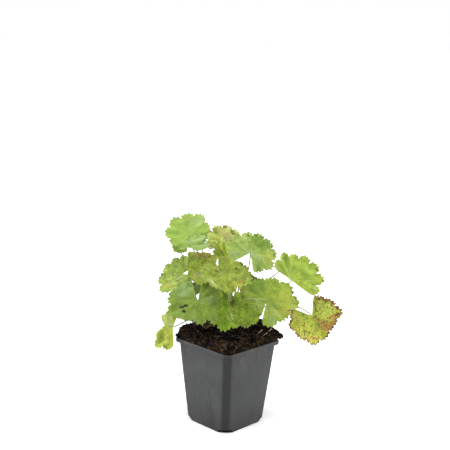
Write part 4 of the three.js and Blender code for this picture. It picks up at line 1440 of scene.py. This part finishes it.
def make_leaf(leaf, stalk_paint, hair_paint):
    blade = make_blade(leaf)
    stalk = make_stalk(leaf)
    hairs = make_hairs(leaf)
    dress(blade, leaf_skin(leaf))
    dress(stalk, stalk_paint)
    dress(hairs, hair_paint)
    piece = join("mantle_" + leaf.name, blade, stalk, hairs)
    keep(piece, leaf.slot, leaf.name)


# Loose bits.

# Each stick: slot, radius and the points that it runs through, as in the solids.
STICKS = {
    "dead_stalk": ("withered", 1.7, [(23, 22, 110), (24, 23.5, 119), (24.5, 25.5, 127), (23, 28, 134)]),
    "straw_1": ("straw", 0.6, [(37.8, 4, 110.4), (37.2, 12, 113.7), (36.8, 21, 116.4)]),
    "straw_2": ("straw", 0.6, [(40.8, 13.5, 108.4), (40.7, 24, 112.3), (38.8, 33, 114.6)]),
}


def straw_skin(name, pale, deep):
    skin = Skin(name, paint(*pale), Roughness=0.7, Specular_IOR_Level=0.35)
    grain = skin.noise(700, 3, 0.6, skin.stretched((1, 0.12, 1)))
    skin.coat(deep, grain.between(0.42, 0.62))
    skin.bump(grain, 0.5, 0.0003)
    return skin


def make_stick(name, slot, radius, path, skin):
    """A stick or straw: a curve through its points, with an uneven bark."""
    start()
    bpy.ops.curve.primitive_nurbs_path_add()
    stick = bpy.context.object
    line = stick.data.splines[0]
    line.points.add(max(0, len(path) + 2 - len(line.points)))
    spots = [path[0], *path, path[-1]]
    while len(spots) < len(line.points):
        spots.append(path[-1])
    for point, spot in zip(line.points, spots):
        point.co = (*(v * MM for v in spot), 1)
    line.use_endpoint_u = True
    stick = thicken(stick, radius * 0.92, 10)
    edit(stick, (bpy.ops.mesh.remove_doubles, {"threshold": 1e-6}))
    places = corners(stick)
    for k, spot in enumerate(places):
        places[k] += np.array(noise.noise_vector(Vector(spot) * 380)) * radius * 0.12 * MM
    move_corners(stick, places)
    smooth(stick, 50)
    dress(stick, skin)
    stick.name = name + "_bark"
    keep(stick, slot, name)


# The whole plant.


def build():
    place_camera()
    light_studio()
    lay_floor()
    make_pot()
    make_compost()
    make_crown()
    stalk_paint, hair_paint = stalk_skin(), hair_skin()
    for name, row in LEAVES.items():
        make_leaf(Leaf(name, row), stalk_paint, hair_paint)
    straw = straw_skin("dry_straw", (206, 184, 148), (150, 118, 84))
    bark = straw_skin("dead_bark", (96, 64, 44), (50, 32, 24))
    for name, row in STICKS.items():
        make_stick(name, *row, bark if name == "dead_stalk" else straw)


build()
start()
